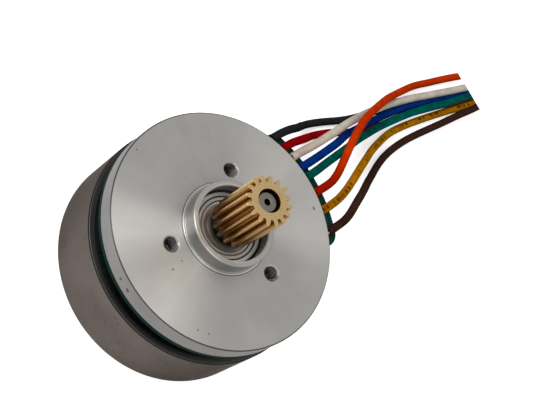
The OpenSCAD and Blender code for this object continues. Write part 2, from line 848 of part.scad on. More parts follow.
// One flank from the root to the tip, on the positive side of the tooth
function flank() =
    let (
        half = tooth_half(base_r),
        lean = asin(root_fillet / (root_r + root_fillet)),
        centre = polar(root_r + root_fillet, half + lean),
        low_r = max(base_r, (root_r + root_fillet) * cos(lean))
    )
    concat(
        arc(centre, root_fillet, half + lean + 180, half + 270, 4),
        [for (i = [0:flank_steps])
            let (r = low_r + (tip_r - low_r) * i / flank_steps) polar(r, tooth_half(r))]
    );

function reversed(points) = [for (i = [len(points) - 1:-1:0]) points[i]];

function turn(p, a) = [p[0] * cos(a) - p[1] * sin(a), p[0] * sin(a) + p[1] * cos(a)];

module pinion_plan() {
    side = flank();
    tooth = concat([for (p = side) [p[0], -p[1]]], reversed(side));
    polygon([for (i = [0:teeth - 1], p = tooth) turn(p, i * 360 / teeth)]);
}

module pinion() {
    color("darkgoldenrod") difference() {
        intersection() {
            rotate([0, 0, pinion_turn]) translate([0, 0, pinion_z])
                linear_extrude(pinion_l) pinion_plan();
            turned([
                [0, pinion_z], [tip_r - pinion_edge, pinion_z], [tip_r + fit, pinion_z + pinion_edge + fit],
                [tip_r + fit, pinion_top - pinion_edge - fit], [tip_r - pinion_edge, pinion_top],
                [0, pinion_top]
            ]);
        }
        translate([0, 0, pinion_z - over]) cylinder(d = pinion_bore, h = pinion_l + 2 * over);
        translate([0, 0, pinion_top - mouth_depth]) cylinder(r = mouth_r, h = mouth_depth + over);
    }
}

front_flange();
front_bearing_outer_ring();
front_bearing_inner_ring();
front_bearing_balls();
front_bearing_cage();
front_bearing_shields();
rear_bearing_outer_ring();
rear_bearing_inner_ring();
rear_bearing_balls();
rear_bearing_cage();
rear_bearing_shields();
wave_washer();
stator_core();
upper_insulator();
lower_insulator();
windings();
phase_wires();
circuit_board();
board_screws();
hall_sensors();
solder_joints();
lead_black();
lead_red();
lead_white();
lead_blue();
lead_green();
lead_orange();
lead_yellow();
lead_brown();
rotor_cup();
magnets();
shaft();
spacer_ring();
pinion();
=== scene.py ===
"""Looks of an outer-rotor brushless DC motor, dressed over its fixed frame.

The shaft runs along Z and the mounting face of the flange lies at z = 0. Sizes are in metres,
or in millimetres where a comment or docstring says so.
"""

import logging
import math
from collections.abc import Callable
from dataclasses import dataclass, field
from enum import Enum
from functools import cached_property

import bmesh
import bpy
import numpy as np
from mathutils import Matrix, Vector


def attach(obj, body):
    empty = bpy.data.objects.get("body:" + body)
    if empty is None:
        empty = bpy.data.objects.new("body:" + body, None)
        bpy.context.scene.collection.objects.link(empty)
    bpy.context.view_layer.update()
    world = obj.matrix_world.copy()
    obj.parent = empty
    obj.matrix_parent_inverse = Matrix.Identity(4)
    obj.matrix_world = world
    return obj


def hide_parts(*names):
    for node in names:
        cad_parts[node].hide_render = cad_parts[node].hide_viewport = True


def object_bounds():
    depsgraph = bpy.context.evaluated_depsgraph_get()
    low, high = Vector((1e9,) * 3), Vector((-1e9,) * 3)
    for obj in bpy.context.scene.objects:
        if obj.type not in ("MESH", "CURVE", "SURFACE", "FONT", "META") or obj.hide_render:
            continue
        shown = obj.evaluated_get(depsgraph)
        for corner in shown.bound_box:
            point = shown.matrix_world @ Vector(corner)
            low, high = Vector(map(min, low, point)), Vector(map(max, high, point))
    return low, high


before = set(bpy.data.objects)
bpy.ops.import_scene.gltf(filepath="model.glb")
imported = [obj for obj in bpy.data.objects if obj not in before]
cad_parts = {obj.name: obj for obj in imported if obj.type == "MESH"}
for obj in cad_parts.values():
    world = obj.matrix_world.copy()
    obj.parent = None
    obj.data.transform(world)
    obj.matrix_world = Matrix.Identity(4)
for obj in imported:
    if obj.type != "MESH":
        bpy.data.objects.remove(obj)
CAD_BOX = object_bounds()

MM = 0.001
TAU = 2 * math.pi
log = logging.getLogger("motor")

# The quarter turn lays the shine of fine grooves across them. A surface is a side where the Z of
# its normal is under the first tilt, and a face where it is over the second. Ground metal has
# so many lines to a metre.
QUARTER_TURN = 0.25
FACE_TILT = (0.6, 0.8)
NOISE_ROUGHNESS = 0.55
GROUND_LINES = 9000
GROUND_DEPTH = 0.0012 * MM

# A Mix node repeats its sockets for every type of data, so those for colours go by number.
MIX_LOW, MIX_HIGH, MIX_RESULT = 6, 7, 2

# Points nearer than these distances are merged. On a copied node, edges flatter than the first
# angle are taken out, and edges sharper than the second are rounded.
MERGE_DISTANCE = 1e-7
THINNEST_EDGE = 1e-8
CAD_MERGE_DISTANCE = 1e-6
FLAT_DEGREES = 0.4
SHARP_DEGREES = 28
BEVEL_STEPS = 2

Colour = tuple[float, float, float]
Point = tuple[float, float, float]
Range = tuple[float, float]
Tones = tuple[tuple[float, float, Colour], ...]


def srgb(*channels: int) -> Colour:
    """Turns a display colour, with channels from 0 to 255, into the linear one of a shader."""
    shares = [channel / 255 for channel in channels]
    return tuple(s / 12.92 if s <= 0.04045 else ((s + 0.055) / 1.055) ** 2.4 for s in shares)


def times(colour: Colour, *shares: float) -> Colour:
    """A colour times one share, or times a share for each channel."""
    return tuple(np.multiply(colour, shares).tolist())


def put(target: object, **values: object) -> None:
    """Sets several properties of a Blender object or node."""
    for key, value in values.items():
        setattr(target, key, value)


def linked(name: str, data: bpy.types.ID) -> bpy.types.Object:
    """Makes a new object and links it into the scene.

    Args:
        name: The object's name.
        data: Its mesh, camera or light.

    Returns:
        The object.
    """
    made = bpy.data.objects.new(name, data)
    bpy.context.scene.collection.objects.link(made)
    return made


def turns(count: int) -> np.ndarray:
    """The angles of one full turn in equal steps, without the last, which is the first again."""
    return np.linspace(0, TAU, count, endpoint=False)


class Body(Enum):
    """The bodies that pieces ride on."""

    STATOR = "stator"
    ROTOR = "rotor"


def operator(operation: str, reflected: bool = False) -> Callable[..., "Sock"]:
    """Makes the method that stands behind one of Python's operators.

    Args:
        operation: The Math node's operation.
        reflected: Whether the socket comes last in the node's inputs.

    Returns:
        A method that adds the node and returns its output.
    """
    def method(self: "Sock", *others: "Sock | float") -> "Sock":
        """Adds the Math node for this socket and the others."""
        values = (*others, self) if reflected else (self, *others)
        return self.graph.math(operation, *values)

    return method


@dataclass(frozen=True)
class Sock:
    """A shader socket that adds a Math node when it is used in an expression.

    A comparison gives one where it holds and zero elsewhere.
    """

    graph: "Graph"
    socket: bpy.types.NodeSocket

    __add__ = __radd__ = operator("ADD")
    __mul__ = __rmul__ = operator("MULTIPLY")
    __sub__ = operator("SUBTRACT")
    __rsub__ = operator("SUBTRACT", reflected=True)
    __truediv__ = operator("DIVIDE")
    __rtruediv__ = operator("DIVIDE", reflected=True)
    __gt__ = operator("GREATER_THAN")
    __lt__ = operator("LESS_THAN")
    __abs__ = operator("ABSOLUTE")


def around(middle: float, noise: Sock, swing: float) -> Sock:
    """A value that noise from 0 to 1 swings about its middle, by swing from end to end."""
    return middle + swing * (noise - 0.5)


def between(share: Sock, low: float, high: float) -> Sock:
    """A value that runs from low, where a share is 0, to high, where it is 1."""
    return low + (high - low) * share


class Graph:
    """The node tree of a new material or world, with the shader that it ends in."""

    def __init__(self, owner: bpy.types.ID, shader: str = "Principled BSDF") -> None:
        """Turns the owner's nodes on.

        Args:
            owner: The material or world.
            shader: The name of its shader node.
        """
        owner.use_nodes = True
        self.owner = owner
        self.tree = owner.node_tree
        self.shader = self.tree.nodes[shader]

    @classmethod
    def material(cls, name: str) -> "Graph":
        """The graph of a new material."""
        return cls(bpy.data.materials.new(name))

    def node(self, kind: str, settings: dict | None = None, inputs: dict | None = None,
             out: int | str = 0) -> Sock:
        """Adds a node of any type.

        Args:
            kind: The node's type, without the leading ShaderNode.
            settings: The node's settings, set first.
            inputs: Values or links of its sockets, by name or number.
            out: The output that is returned.

        Returns:
            The chosen output.
        """
        made = self.tree.nodes.new("ShaderNode" + kind)
        put(made, **(settings or {}))
        for key, value in (inputs or {}).items():
            self.feed(made.inputs[key], value)
        return Sock(self, made.outputs[out])

    def feed(self, socket: bpy.types.NodeSocket, value: "Sock | float | tuple") -> None:
        """Links a socket to another, or sets its value.

        Args:
            socket: The input.
            value: A socket, a number, a vector or a colour.
        """
        if isinstance(value, Sock):
            self.tree.links.new(value.socket, socket)
        elif socket.type == "RGBA":
            socket.default_value = (*value, 1)
        else:
            socket.default_value = value

    def math(self, operation: str, *values: "Sock | float", clamp: bool = False) -> Sock:
        """Adds a Math node with its inputs in order. Clamped, its result stays from 0 to 1."""
        return self.node("Math", {"operation": operation, "use_clamp": clamp},
                         dict(enumerate(values)))

    @cached_property
    def place(self) -> Sock:
        """Object coordinates, in metres in the frame."""
        return self.node("TexCoord", out="Object")

    @cached_property
    def own_map(self) -> Sock:
        """The piece's own map."""
        return self.node("UVMap", {"uv_map": "UVMap"})

    @cached_property
    def radius(self) -> Sock:
        """Distance from the shaft axis."""
        x, y, _ = self.parts(self.place)
        return self.math("SQRT", x * x + y * y)

    @cached_property
    def facing_up(self) -> Sock:
        """Near 1 where the surface lies across the shaft, and near 0 on its sides."""
        _, _, z = self.parts(self.node("NewGeometry", out="Normal"))
        return self.step(abs(z), *FACE_TILT)

    def parts(self, vector: Sock) -> tuple[Sock, Sock, Sock]:
        """The X, Y and Z of a vector."""
        node = self.node("SeparateXYZ", inputs={0: vector}).socket.node
        return tuple(Sock(self, output) for output in node.outputs)

    def scaled(self, vector: Sock, factors: Point) -> Sock:
        """A vector times a factor for each axis."""
        return self.node("VectorMath", {"operation": "MULTIPLY"}, {0: vector, 1: factors})

    def step(self, value: Sock, low: float, high: float) -> Sock:
        """Rises smoothly from 0 at low to 1 at high."""
        return self.node("MapRange", {"interpolation_type": "SMOOTHSTEP"},
                         {"Value": value, "From Min": low, "From Max": high})

    def noise(self, scale: float, detail: float = 3, vector: Sock | None = None) -> Sock:
        """Noise from 0 to 1 with about scale cells to a metre, on Object coordinates or another."""
        return self.node("TexNoise", {}, {"Vector": vector or self.place, "Scale": scale,
                                          "Detail": detail, "Roughness": NOISE_ROUGHNESS})

    def noise_line(self, value: Sock, scale: float, detail: float = 2) -> Sock:
        """Noise from 0 to 1 along one number, with about scale cells to a metre."""
        return self.node("TexNoise", {"noise_dimensions": "1D"},
                         {"W": value, "Scale": scale, "Detail": detail})

    def mix(self, low: "Sock | Colour", high: "Sock | Colour", share: "Sock | float") -> Sock:
        """Blends two colours, from the low one at a share of 0 to the high one at a share of 1."""
        return self.node("Mix", {"data_type": "RGBA"},
                         {0: share, MIX_LOW: low, MIX_HIGH: high}, out=MIX_RESULT)

    def bump(self, height: Sock, depth: float, under: Sock | None = None) -> Sock:
        """Bends the normal by a height.

        Args:
            height: The height, from 0 to 1.
            depth: What a height of 1 stands for, in metres.
            under: A normal that this one is laid over.

        Returns:
            The normal.
        """
        inputs = {"Height": height, "Distance": depth, "Strength": 1}
        if under is not None:
            inputs["Normal"] = under
        return self.node("Bump", {}, inputs)

    def ground(self) -> Sock:
        """The normal of ground or pressed metal: very fine rings about the shaft."""
        return self.bump(self.noise_line(self.radius, GROUND_LINES), GROUND_DEPTH)

    def finish(self, **sockets: "Sock | float | Colour") -> bpy.types.ID:
        """Feeds the shader's sockets, named with underscores for spaces.

        Args:
            sockets: Values or links of the shader's sockets.

        Returns:
            The material or world.
        """
        for name, value in sockets.items():
            self.feed(self.shader.inputs[name.replace("_", " ")], value)
        return self.owner


@dataclass(frozen=True)
class Ring:
    """A zone of a turned piece between two radii and two heights in millimetres, and its tone."""

    inner: float
    outer: float
    low: float
    high: float
    tone: float

    def mask(self, radius: Sock, z: Sock) -> Sock:
        """One inside the zone and zero elsewhere."""
        return ((radius > self.inner * MM) * (radius < self.outer * MM)
                * (z > self.low * MM) * (z < self.high * MM))


@dataclass(frozen=True)
class Pit:
    """A small dark pit, by its place and radius in millimetres."""

    x: float
    y: float
    z: float
    r: float
    ragged: float = 1.3
    ragged_scale: float = 2500
    floor: float = 0.5

    def mark(self, g: Graph) -> Sock:
        """One on the pit's floor, falling to zero at its rim, which noise makes ragged.

        Args:
            g: The material's graph.

        Returns:
            The mark, from 0 to 1.
        """
        middle, r = (self.x * MM, self.y * MM, self.z * MM), self.r * MM
        away = g.node("VectorMath", {"operation": "DISTANCE"}, {0: g.place, 1: middle}, "Value")
        edge = away + (g.noise(self.ragged_scale, detail=2) - 0.5) * (self.ragged * r)
        return 1 - g.step(edge, self.floor * r, r)


@dataclass(frozen=True)
class Pores:
    """Small upright dark pores, faint everywhere and stronger in patches."""

    depth: float = 0.04 * MM
    dark: float = 0.3
    scale: float = 1100
    upright: Point = (1, 1, 1.6)
    edge: Range = (0.54, 0.7)
    patch_scale: float = 70
    patch_edge: Range = (0.5, 0.66)
    share: Range = (0.15, 0.75)

    def mark(self, g: Graph) -> Sock:
        """Pores where a fine noise is high, stronger where a broad noise is high too.

        Args:
            g: The material's graph.

        Returns:
            The mark, from 0 to 1.
        """
        pore = g.step(g.noise(self.scale, vector=g.scaled(g.place, self.upright)), *self.edge)
        patch = g.step(g.noise(self.patch_scale), *self.patch_edge)
        return pore * between(patch, *self.share)


@dataclass(frozen=True)
class TurnedMetal:
    """Metal turned on a lathe: fine rings on its faces and fine lines round its sides.

    The grooves are a noise along the radius on faces and along Z on sides. They are too fine
    to see singly, so the shader's anisotropy spreads light across them. Rings paint shade and
    highlights, each in its own grey, and the painted highlight edge takes its tone as a share of
    the face's colour. Faces and sides have their own tones, so a side can be painted darker, as
    shade. A low edge tint keeps the metal dark where it is seen at a glancing angle. Spokes are a
    noise over the direction alone, so they run out from the axis in soft rays; in the face's
    colour they paint a faint radial sheen.
    """

    name: str
    colour: Colour
    shade: Colour
    wall: Colour
    roughness: float
    sheen: float
    groove: float = 0.09 * MM
    depth: float = 0.0005 * MM
    blotch_scale: float = 60
    blotch_dark: float = 0.86
    blotch_swing: float = 0.06
    wall_range: Range = (0.35, 0.7)
    face_range: Range = (0.3, 0.7)
    spoke_scale: float = 7
    sheen_spoke_share: float = 0.3
    spoke_swing: float = 0.02
    polished_r: float = 0.0
    polish: float = 0.07
    rings: tuple[Ring, ...] = ()
    highlight_edge: Ring | None = None
    highlight_matt: float = 0.8
    pits: tuple[Pit, ...] = ()
    pit_tint: Colour = (0.3, 0.22, 0.2)
    pit_share: float = 0.9
    pit_depth: float = 0.1
    pores: Pores | None = None
    edge_tint: float = 1.0

    def build(self) -> bpy.types.Material:
        """Lays the painted rings of shade and highlight, pits, pores and the painted highlight edge
        over the tones of face and side.

        Returns:
            The material.
        """
        g = Graph.material(self.name)
        x, y, z = g.parts(g.place)
        radius, up = g.radius, g.facing_up
        blotch = g.noise(self.blotch_scale, detail=4)
        ray = g.node("CombineXYZ", {}, {0: x / radius, 1: y / radius})
        spokes = g.noise(self.spoke_scale, vector=ray)
        # The spokes' share paints a faint radial sheen into the face's colour.
        patches = blotch * (1 - self.sheen_spoke_share) + spokes * self.sheen_spoke_share
        face = g.mix(self.colour, self.shade, g.step(patches, *self.face_range))
        side = g.mix(self.wall, times(self.wall, self.blotch_dark),
                     g.step(blotch, *self.wall_range))
        colour = g.mix(side, face, up)
        rough = around(self.roughness, blotch, self.blotch_swing)
        rough = rough + self.spoke_swing * (spokes - 0.5)
        if self.polished_r:
            rough = rough - self.polish * (radius < self.polished_r)
        # Each ring paints shade or a highlight in its own grey.
        for ring in self.rings:
            colour = g.mix(colour, (ring.tone,) * 3, ring.mask(radius, z))
        fine = g.noise_line(radius * up + z * (1 - up), 1 / self.groove, detail=3)
        normal = g.bump(fine, self.depth)
        for pit in self.pits:
            mark = pit.mark(g)
            colour = g.mix(colour, times(self.shade, *self.pit_tint), mark * self.pit_share)
            normal = g.bump(1 - mark, self.pit_depth * (pit.r * MM), normal)
        if self.pores is not None:
            mark = self.pores.mark(g)
            colour = g.mix(colour, times(self.shade, self.pores.dark), mark)
            normal = g.bump(1 - mark, self.pores.depth, normal)
        metallic = 1.0
        # A painted highlight: the edge is made lighter than the face and partly matt.
        if self.highlight_edge is not None:
            edge = self.highlight_edge.mask(radius, z)
            colour = g.mix(colour, times(self.colour, self.highlight_edge.tone), edge)
            metallic = 1 - self.highlight_matt * edge
        return g.finish(Base_Color=colour, Metallic=metallic, Roughness=rough, Normal=normal,
                        Anisotropic=self.sheen, Anisotropic_Rotation=QUARTER_TURN,
                        Specular_Tint=(self.edge_tint,) * 3)


@dataclass(frozen=True)
class CutThread:
    """Tapped metal: bright crests and roots painted dark as shade, darker deeper in the hole.

    The piece's map holds the depth of the groove along U and the depth in the hole along V.
    """

    name: str
    crest: Colour
    shaded_root: Colour
    roughness: float = 0.35
    groove_range: Range = (0.15, 0.6)
    hole_range: Range = (0.3, 1.3)

    def build(self) -> bpy.types.Material:
        """Paints shade: darkens the metal with the groove's depth or the depth in the hole,
        whichever is more.

        Returns:
            The material.
        """
        g = Graph.material(self.name)
        groove, deep, _ = g.parts(g.own_map)
        # Painted shade in the roots and deeper in the hole.
        dark = g.math("MAXIMUM", g.step(groove, *self.groove_range),
                      g.step(deep, *self.hole_range))
        return g.finish(Base_Color=g.mix(self.crest, self.shaded_root, dark), Metallic=1.0,
                        Roughness=self.roughness)


@dataclass(frozen=True)
class GroundSteel:
    """Ground or pressed metal with a faint haze and fine scratches."""

    name: str
    colour: Colour
    roughness: float
    haze: float = 0.25
    scale: float = 250
    clear_range: Range = (0.35, 0.65)
    swing: float = 0.12

    def build(self) -> bpy.types.Material:
        """Lays a haze over the metal where a noise is low.

        Returns:
            The material.
        """
        g = Graph.material(self.name)
        cloud = g.noise(self.scale, detail=4)
        clear = g.step(cloud, *self.clear_range)
        return g.finish(Base_Color=g.mix(times(self.colour, 1 - self.haze), self.colour, clear),
                        Metallic=1.0, Roughness=around(self.roughness, cloud, self.swing),
                        Normal=g.ground())


@dataclass(frozen=True)
class CutBrass:
    """Brass cut by a hob: crests painted lighter, as a highlight, amber flanks, a turned face, and
    painted shade at the inner end.

    The painted shade, with a dark reflection of the bore, runs from its full strength at the
    lower of two heights to none at the upper. The face is darker in fine rings and under dust,
    and the bore is painted darkest, as shade.
    """

    name: str
    crest: Colour
    flank: Colour
    face: Colour
    inner_shade: Colour
    crest_r: Range
    bore_r: float
    inner_shade_z: Range
    cloud_scale: float = 420
    crest_light_share: Range = (0.85, 1.15)
    inner_shade_share: Range = (0.3, 0.7)
    face_dark: float = 0.62
    ring_scale: float = 5000
    ring_range: Range = (0.4, 0.7)
    ring_share: float = 0.55
    dust_scale: float = 650
    dust_range: Range = (0.5, 0.75)
    dust_share: float = 0.6
    bore_shade: float = 0.2
    pass_scale: float = 2600
    depth: float = 0.0015 * MM
    roughness: float = 0.3
    swing: float = 0.1
    flank_rougher: float = 0.06
    face_rougher: float = 0.1

    def build(self) -> bpy.types.Material:
        """Builds the sides from crest, flank and painted shade, and the face from rings and dust.

        Returns:
            The material.
        """
        g = Graph.material(self.name)
        _, _, z = g.parts(g.place)
        radius, up = g.radius, g.facing_up
        cloud = g.noise(self.cloud_scale, detail=4)
        # Painted highlight: the crests are lighter than the flanks by radius, broken by cloud.
        worn = g.step(radius, *self.crest_r)
        bare = g.math("MULTIPLY", worn, between(cloud, *self.crest_light_share), clamp=True)
        # Painted shade and a dark reflection of the bore towards the inner end.
        inner_shade_mask = (1 - g.step(z, *self.inner_shade_z)) * between(cloud, *self.inner_shade_share)
        side = g.mix(g.mix(self.flank, self.crest, bare), self.inner_shade, inner_shade_mask)
        rings = g.noise_line(radius, self.ring_scale)
        dust = g.step(g.noise(self.dust_scale), *self.dust_range)
        marks = g.math("MAXIMUM", self.ring_share * g.step(rings, *self.ring_range),
                       self.dust_share * dust)
        face = g.mix(self.face, times(self.face, self.face_dark), marks)
        # The bore is painted dark, as shade in the recess.
        colour = g.mix(g.mix(side, face, up), times(self.flank, self.bore_shade),
                       radius < self.bore_r)
        passes = g.noise_line(z, self.pass_scale)
        rough = around(self.roughness, cloud, self.swing)
        rough = rough + self.flank_rougher * (1 - worn) + self.face_rougher * up
        return g.finish(Base_Color=colour, Metallic=1.0, Roughness=rough,
                        Normal=g.bump(rings * up + passes * (1 - up), self.depth))


@dataclass(frozen=True)
class RingedSteel:
    """Turned or pressed steel whose rings differ in tone.

    Each ring has its inner and outer radius in millimetres, and its colour. The metal is part
    matt, so that it keeps its tone in a deep seat.
    """

    name: str
    colour: Colour
    rings: Tones
    roughness: float = 0.32
    matt: float = 0.45
    blur: float = 0.05 * MM
    cloud_scale: float = 500
    stain: float = 0.35
    stain_dark: float = 0.6
    stain_range: Range = (0.45, 0.7)
    swing: float = 0.12

    def build(self) -> bpy.types.Material:
        """Lays each ring's tone between its radii, and stains over all.

        Returns:
            The material.
        """
        g = Graph.material(self.name)
        cloud = g.noise(self.cloud_scale)
        colour = self.colour
        for inner, outer, tone in self.rings:
            rise, past = (g.step(g.radius, r * MM - self.blur, r * MM + self.blur)
                          for r in (inner, outer))
            colour = g.mix(colour, tone, rise * (1 - past))
        colour = g.mix(colour, times(self.colour, self.stain_dark),
                       self.stain * g.step(cloud, *self.stain_range))
        return g.finish(Base_Color=colour, Metallic=1 - self.matt, Normal=g.ground(),
                        Roughness=around(self.roughness, cloud, self.swing))


@dataclass(frozen=True)
class Insulation:
    """Extruded lead insulation, with the faint drag lines and scuffs that it picks up.

    A printed lead carries short worn ink strokes along one side, with no letters. Towards its
    solder the insulation is painted darker and redder, as shade from the flange, over a reach
    along the lead. It mirrors nothing, because a glancing mirror of the white surroundings would
    veil its colour.
    """

    name: str
    colour: Colour
    ink: Colour | None = None
    print_share: float = 0.75
    roughness: float = 0.42
    painted_shade: float = 0.3
    painted_shade_tint: Colour = (0.5, 0.16, 0.16)
    painted_shade_reach: Range = (4 * MM, 22 * MM)
    cloud_scale: float = 320
    cloud_range: Range = (0.3, 0.7)
    light: float = 1.12
    dark: float = 0.85
    swing: float = 0.2
    drag_scale: Point = (90, 14, 1)
    drag_depth: float = 0.01 * MM
    ink_row: float = 0.27
    row_edge: Range = (0.06, 0.08)
    dash_scale: float = 1000
    dash_edge: Range = (0.44, 0.5)
    group_scale: float = 120
    group_edge: Range = (0.46, 0.52)
    wear_scale: float = 500
    wear_edge: Range = (0.35, 0.55)
    wear_share: Range = (0.4, 1)

    def build(self) -> bpy.types.Material:
        """Clouds the colour, paints shade near the solder and lays the ink over it.

        Returns:
            The material.
        """
        g = Graph.material(self.name)
        cloud = g.noise(self.cloud_scale, detail=4)
        colour = g.mix(times(self.colour, self.dark), times(self.colour, self.light),
                       g.step(cloud, *self.cloud_range))
        along, _, _ = g.parts(g.own_map)
        # Painted shade: darker and redder towards the solder, where the flange shades the leads.
        near = 1 - g.step(along, *self.painted_shade_reach)
        colour = g.mix(colour, times(self.colour, *self.painted_shade_tint), self.painted_shade * near)
        if self.ink is not None:
            colour = g.mix(colour, self.ink, self._strokes(g) * self.print_share)
        drag = g.noise(1, vector=g.scaled(g.own_map, self.drag_scale))
        return g.finish(Base_Color=colour, Metallic=0.0, Specular_IOR_Level=0.0,
                        Roughness=around(self.roughness, cloud, self.swing),
                        Normal=g.bump(drag, self.drag_depth))

    def _strokes(self, g: Graph) -> Sock:
        """A broken row of ink strokes: narrow round the lead, in groups along it.

        Args:
            g: The material's graph.

        Returns:
            How strong the ink is, from 0 to 1.
        """
        u, v, _ = g.parts(g.own_map)
        row = 1 - g.step(abs(v - self.ink_row), *self.row_edge)
        dash = g.step(g.noise_line(u, self.dash_scale, detail=0), *self.dash_edge)
        group = g.step(g.noise_line(u, self.group_scale, detail=0), *self.group_edge)
        wear = g.step(g.noise(self.wear_scale, detail=2), *self.wear_edge)
        return row * dash * group * between(wear, *self.wear_share)


@dataclass(frozen=True)
class SolderMask:
    """Circuit board: dark green mask with faint tracks on its faces, bare laminate at its edge."""

    name: str
    mask: Colour
    track: Colour
    edge: Colour
    track_pitch: float = 1.6 * MM
    track_edge: Range = (0.26, 0.3)
    track_share: float = 0.8
    track_depth: float = 0.03 * MM
    sector_scale: float = 1.6
    sector_edge: Range = (0.42, 0.5)
    layer_scale: float = 7000
    layer_dark: float = 0.7
    roughness: float = 0.35
    edge_roughness: float = 0.6
    gloss: float = 0.05

    def build(self) -> bpy.types.Material:
        """Draws the tracks as broken rings about the shaft, and the edge in layers.

        Returns:
            The material.
        """
        g = Graph.material(self.name)
        x, y, z = g.parts(g.place)
        up = g.facing_up
        lane = g.math("FRACT", g.radius / self.track_pitch)
        wire = g.step(abs(lane - 0.5), *self.track_edge)
        sector = g.noise_line(g.math("ARCTAN2", y, x), self.sector_scale, detail=0)
        copper = wire * g.step(sector, *self.sector_edge)
        face = g.mix(self.mask, self.track, copper * self.track_share)
        layers = g.noise_line(z, self.layer_scale, detail=1)
        edge = g.mix(times(self.edge, self.layer_dark), self.edge, layers)
        return g.finish(Base_Color=g.mix(edge, face, up), Metallic=0.0,
                        Roughness=between(1 - up, self.roughness, self.edge_roughness),
                        Normal=g.bump(copper, self.track_depth), Specular_IOR_Level=self.gloss)


@dataclass(frozen=True)
class MouldedPlastic:
    """Moulded plastic with a fine grain."""

    name: str
    colour: Colour
    roughness: float
    gloss: float = 0.5
    cloud_scale: float = 500
    dark: float = 0.86
    swing: float = 0.15
    grain_scale: float = 5000
    grain_depth: float = 0.008 * MM

    def build(self) -> bpy.types.Material:
        """Clouds the colour and grains the surface.

        Returns:
            The material.
        """
        g = Graph.material(self.name)
        cloud = g.noise(self.cloud_scale)
        return g.finish(Base_Color=g.mix(times(self.colour, self.dark), self.colour, cloud),
                        Roughness=around(self.roughness, cloud, self.swing),
                        Normal=g.bump(g.noise(self.grain_scale, detail=2), self.grain_depth),
                        Specular_IOR_Level=self.gloss)


@dataclass(frozen=True)
class StackedSheet:
    """Edges of stacked steel laminations: a dark line between each sheet and the next."""

    name: str
    colour: Colour
    pitch: float = 0.5 * MM
    seam_dark: float = 0.25
    seam_share: float = 0.8
    seam_edge: Range = (0.38, 0.48)
    seam_depth: float = 0.04 * MM
    cloud_scale: float = 300
    cloud_share: float = 0.2
    metal: float = 0.9
    roughness: float = 0.42
    swing: float = 0.2

    def build(self) -> bpy.types.Material:
        """Darkens a seam at each step of the pitch, on the sides alone.

        Returns:
            The material.
        """
        g = Graph.material(self.name)
        _, _, z = g.parts(g.place)
        lane = abs(g.math("FRACT", z / self.pitch) - 0.5)
        seam = g.step(lane, *self.seam_edge) * (1 - g.facing_up)
        cloud = g.noise(self.cloud_scale)
        shade = seam * self.seam_share + self.cloud_share * cloud
        return g.finish(Base_Color=g.mix(self.colour, times(self.colour, self.seam_dark), shade),
                        Metallic=self.metal, Normal=g.bump(1 - seam, self.seam_depth),
                        Roughness=around(self.roughness, cloud, self.swing))


@dataclass(frozen=True)
class Enamel:
    """Copper wire under clear enamel."""

    name: str
    colour: Colour
    cloud_scale: float = 600
    dark: float = 0.6
    metal: float = 0.85
    roughness: float = 0.28
    swing: float = 0.15
    coat: float = 0.6
    coat_roughness: float = 0.12
    wave_scale: float = 2500
    wave_depth: float = 0.01 * MM

    def build(self) -> bpy.types.Material:
        """Clouds the copper under its clear coat.

        Returns:
            The material.
        """
        g = Graph.material(self.name)
        cloud = g.noise(self.cloud_scale)
        return g.finish(Base_Color=g.mix(times(self.colour, self.dark), self.colour, cloud),
                        Metallic=self.metal, Coat_Weight=self.coat,
                        Coat_Roughness=self.coat_roughness,
                        Roughness=around(self.roughness, cloud, self.swing),
                        Normal=g.bump(g.noise(self.wave_scale, detail=2), self.wave_depth))


def grid_faces(nu: int, nv: int, wrap_u: bool, wrap_v: bool) -> np.ndarray:
    """Quads of a grid: each joins a point to the next ones along u and v, anticlockwise.

    Args:
        nu: How many points lie along u.
        nv: How many points lie along v.
        wrap_u: Whether the last point along u joins the first.
        wrap_v: Whether the last point along v joins the first.

    Returns:
        The numbers of each face's points, of shape (faces, 4).
    """
    u = np.arange(nu if wrap_u else nu - 1)
    v = np.arange(nv if wrap_v else nv - 1)
    i, j = np.meshgrid(u, v, indexing="ij")
    k, m = (i + 1) % nu, (j + 1) % nv
    return np.stack([i * nv + j, k * nv + j, k * nv + m, i * nv + m], axis=-1).reshape(-1, 4)


def surfaces(name: str, grids: list[np.ndarray], wrap_u: bool, wrap_v: bool,
             uvs: list[np.ndarray] | None = None) -> bpy.types.Object:
    """Makes one piece from grids of points.

    Args:
        name: The piece's name.
        grids: Arrays of shape (u, v, 3), in metres.
        wrap_u: Whether the last row of each joins its first.
        wrap_v: Whether the last column of each joins its first.
        uvs: Arrays of shape (u, v, 2) for the piece's own map, or None.

    Returns:
        The object, linked into the scene.
    """
    faces, start = [], 0
    for grid in grids:
        faces.append(grid_faces(*grid.shape[:2], wrap_u, wrap_v) + start)
        start += grid.shape[0] * grid.shape[1]
    quads = np.concatenate(faces)
    points = np.concatenate([grid.reshape(-1, 3) for grid in grids])
    mesh = bpy.data.meshes.new(name)
    mesh.from_pydata(points.tolist(), [], quads.tolist())
    mesh.polygons.foreach_set("use_smooth", np.ones(len(quads), bool))
    if uvs is not None:
        values = np.concatenate([uv.reshape(-1, 2) for uv in uvs])
        layer = mesh.uv_layers.new(name="UVMap")
        layer.data.foreach_set("uv", values[quads.ravel()].astype(np.float32).ravel())
    tidy_mesh(mesh)
    return linked(name, mesh)


def tidy_mesh(mesh: bpy.types.Mesh) -> None:
    """Merges points that meet at poles and turns every face outwards.

    Args:
        mesh: The mesh, which is changed.
    """
    work = bmesh.new()
    work.from_mesh(mesh)
    bmesh.ops.remove_doubles(work, verts=work.verts, dist=MERGE_DISTANCE)
    bmesh.ops.dissolve_degenerate(work, edges=work.edges, dist=THINNEST_EDGE)
    bmesh.ops.recalc_face_normals(work, faces=work.faces)
    work.to_mesh(mesh)
    work.free()
    mesh.update()


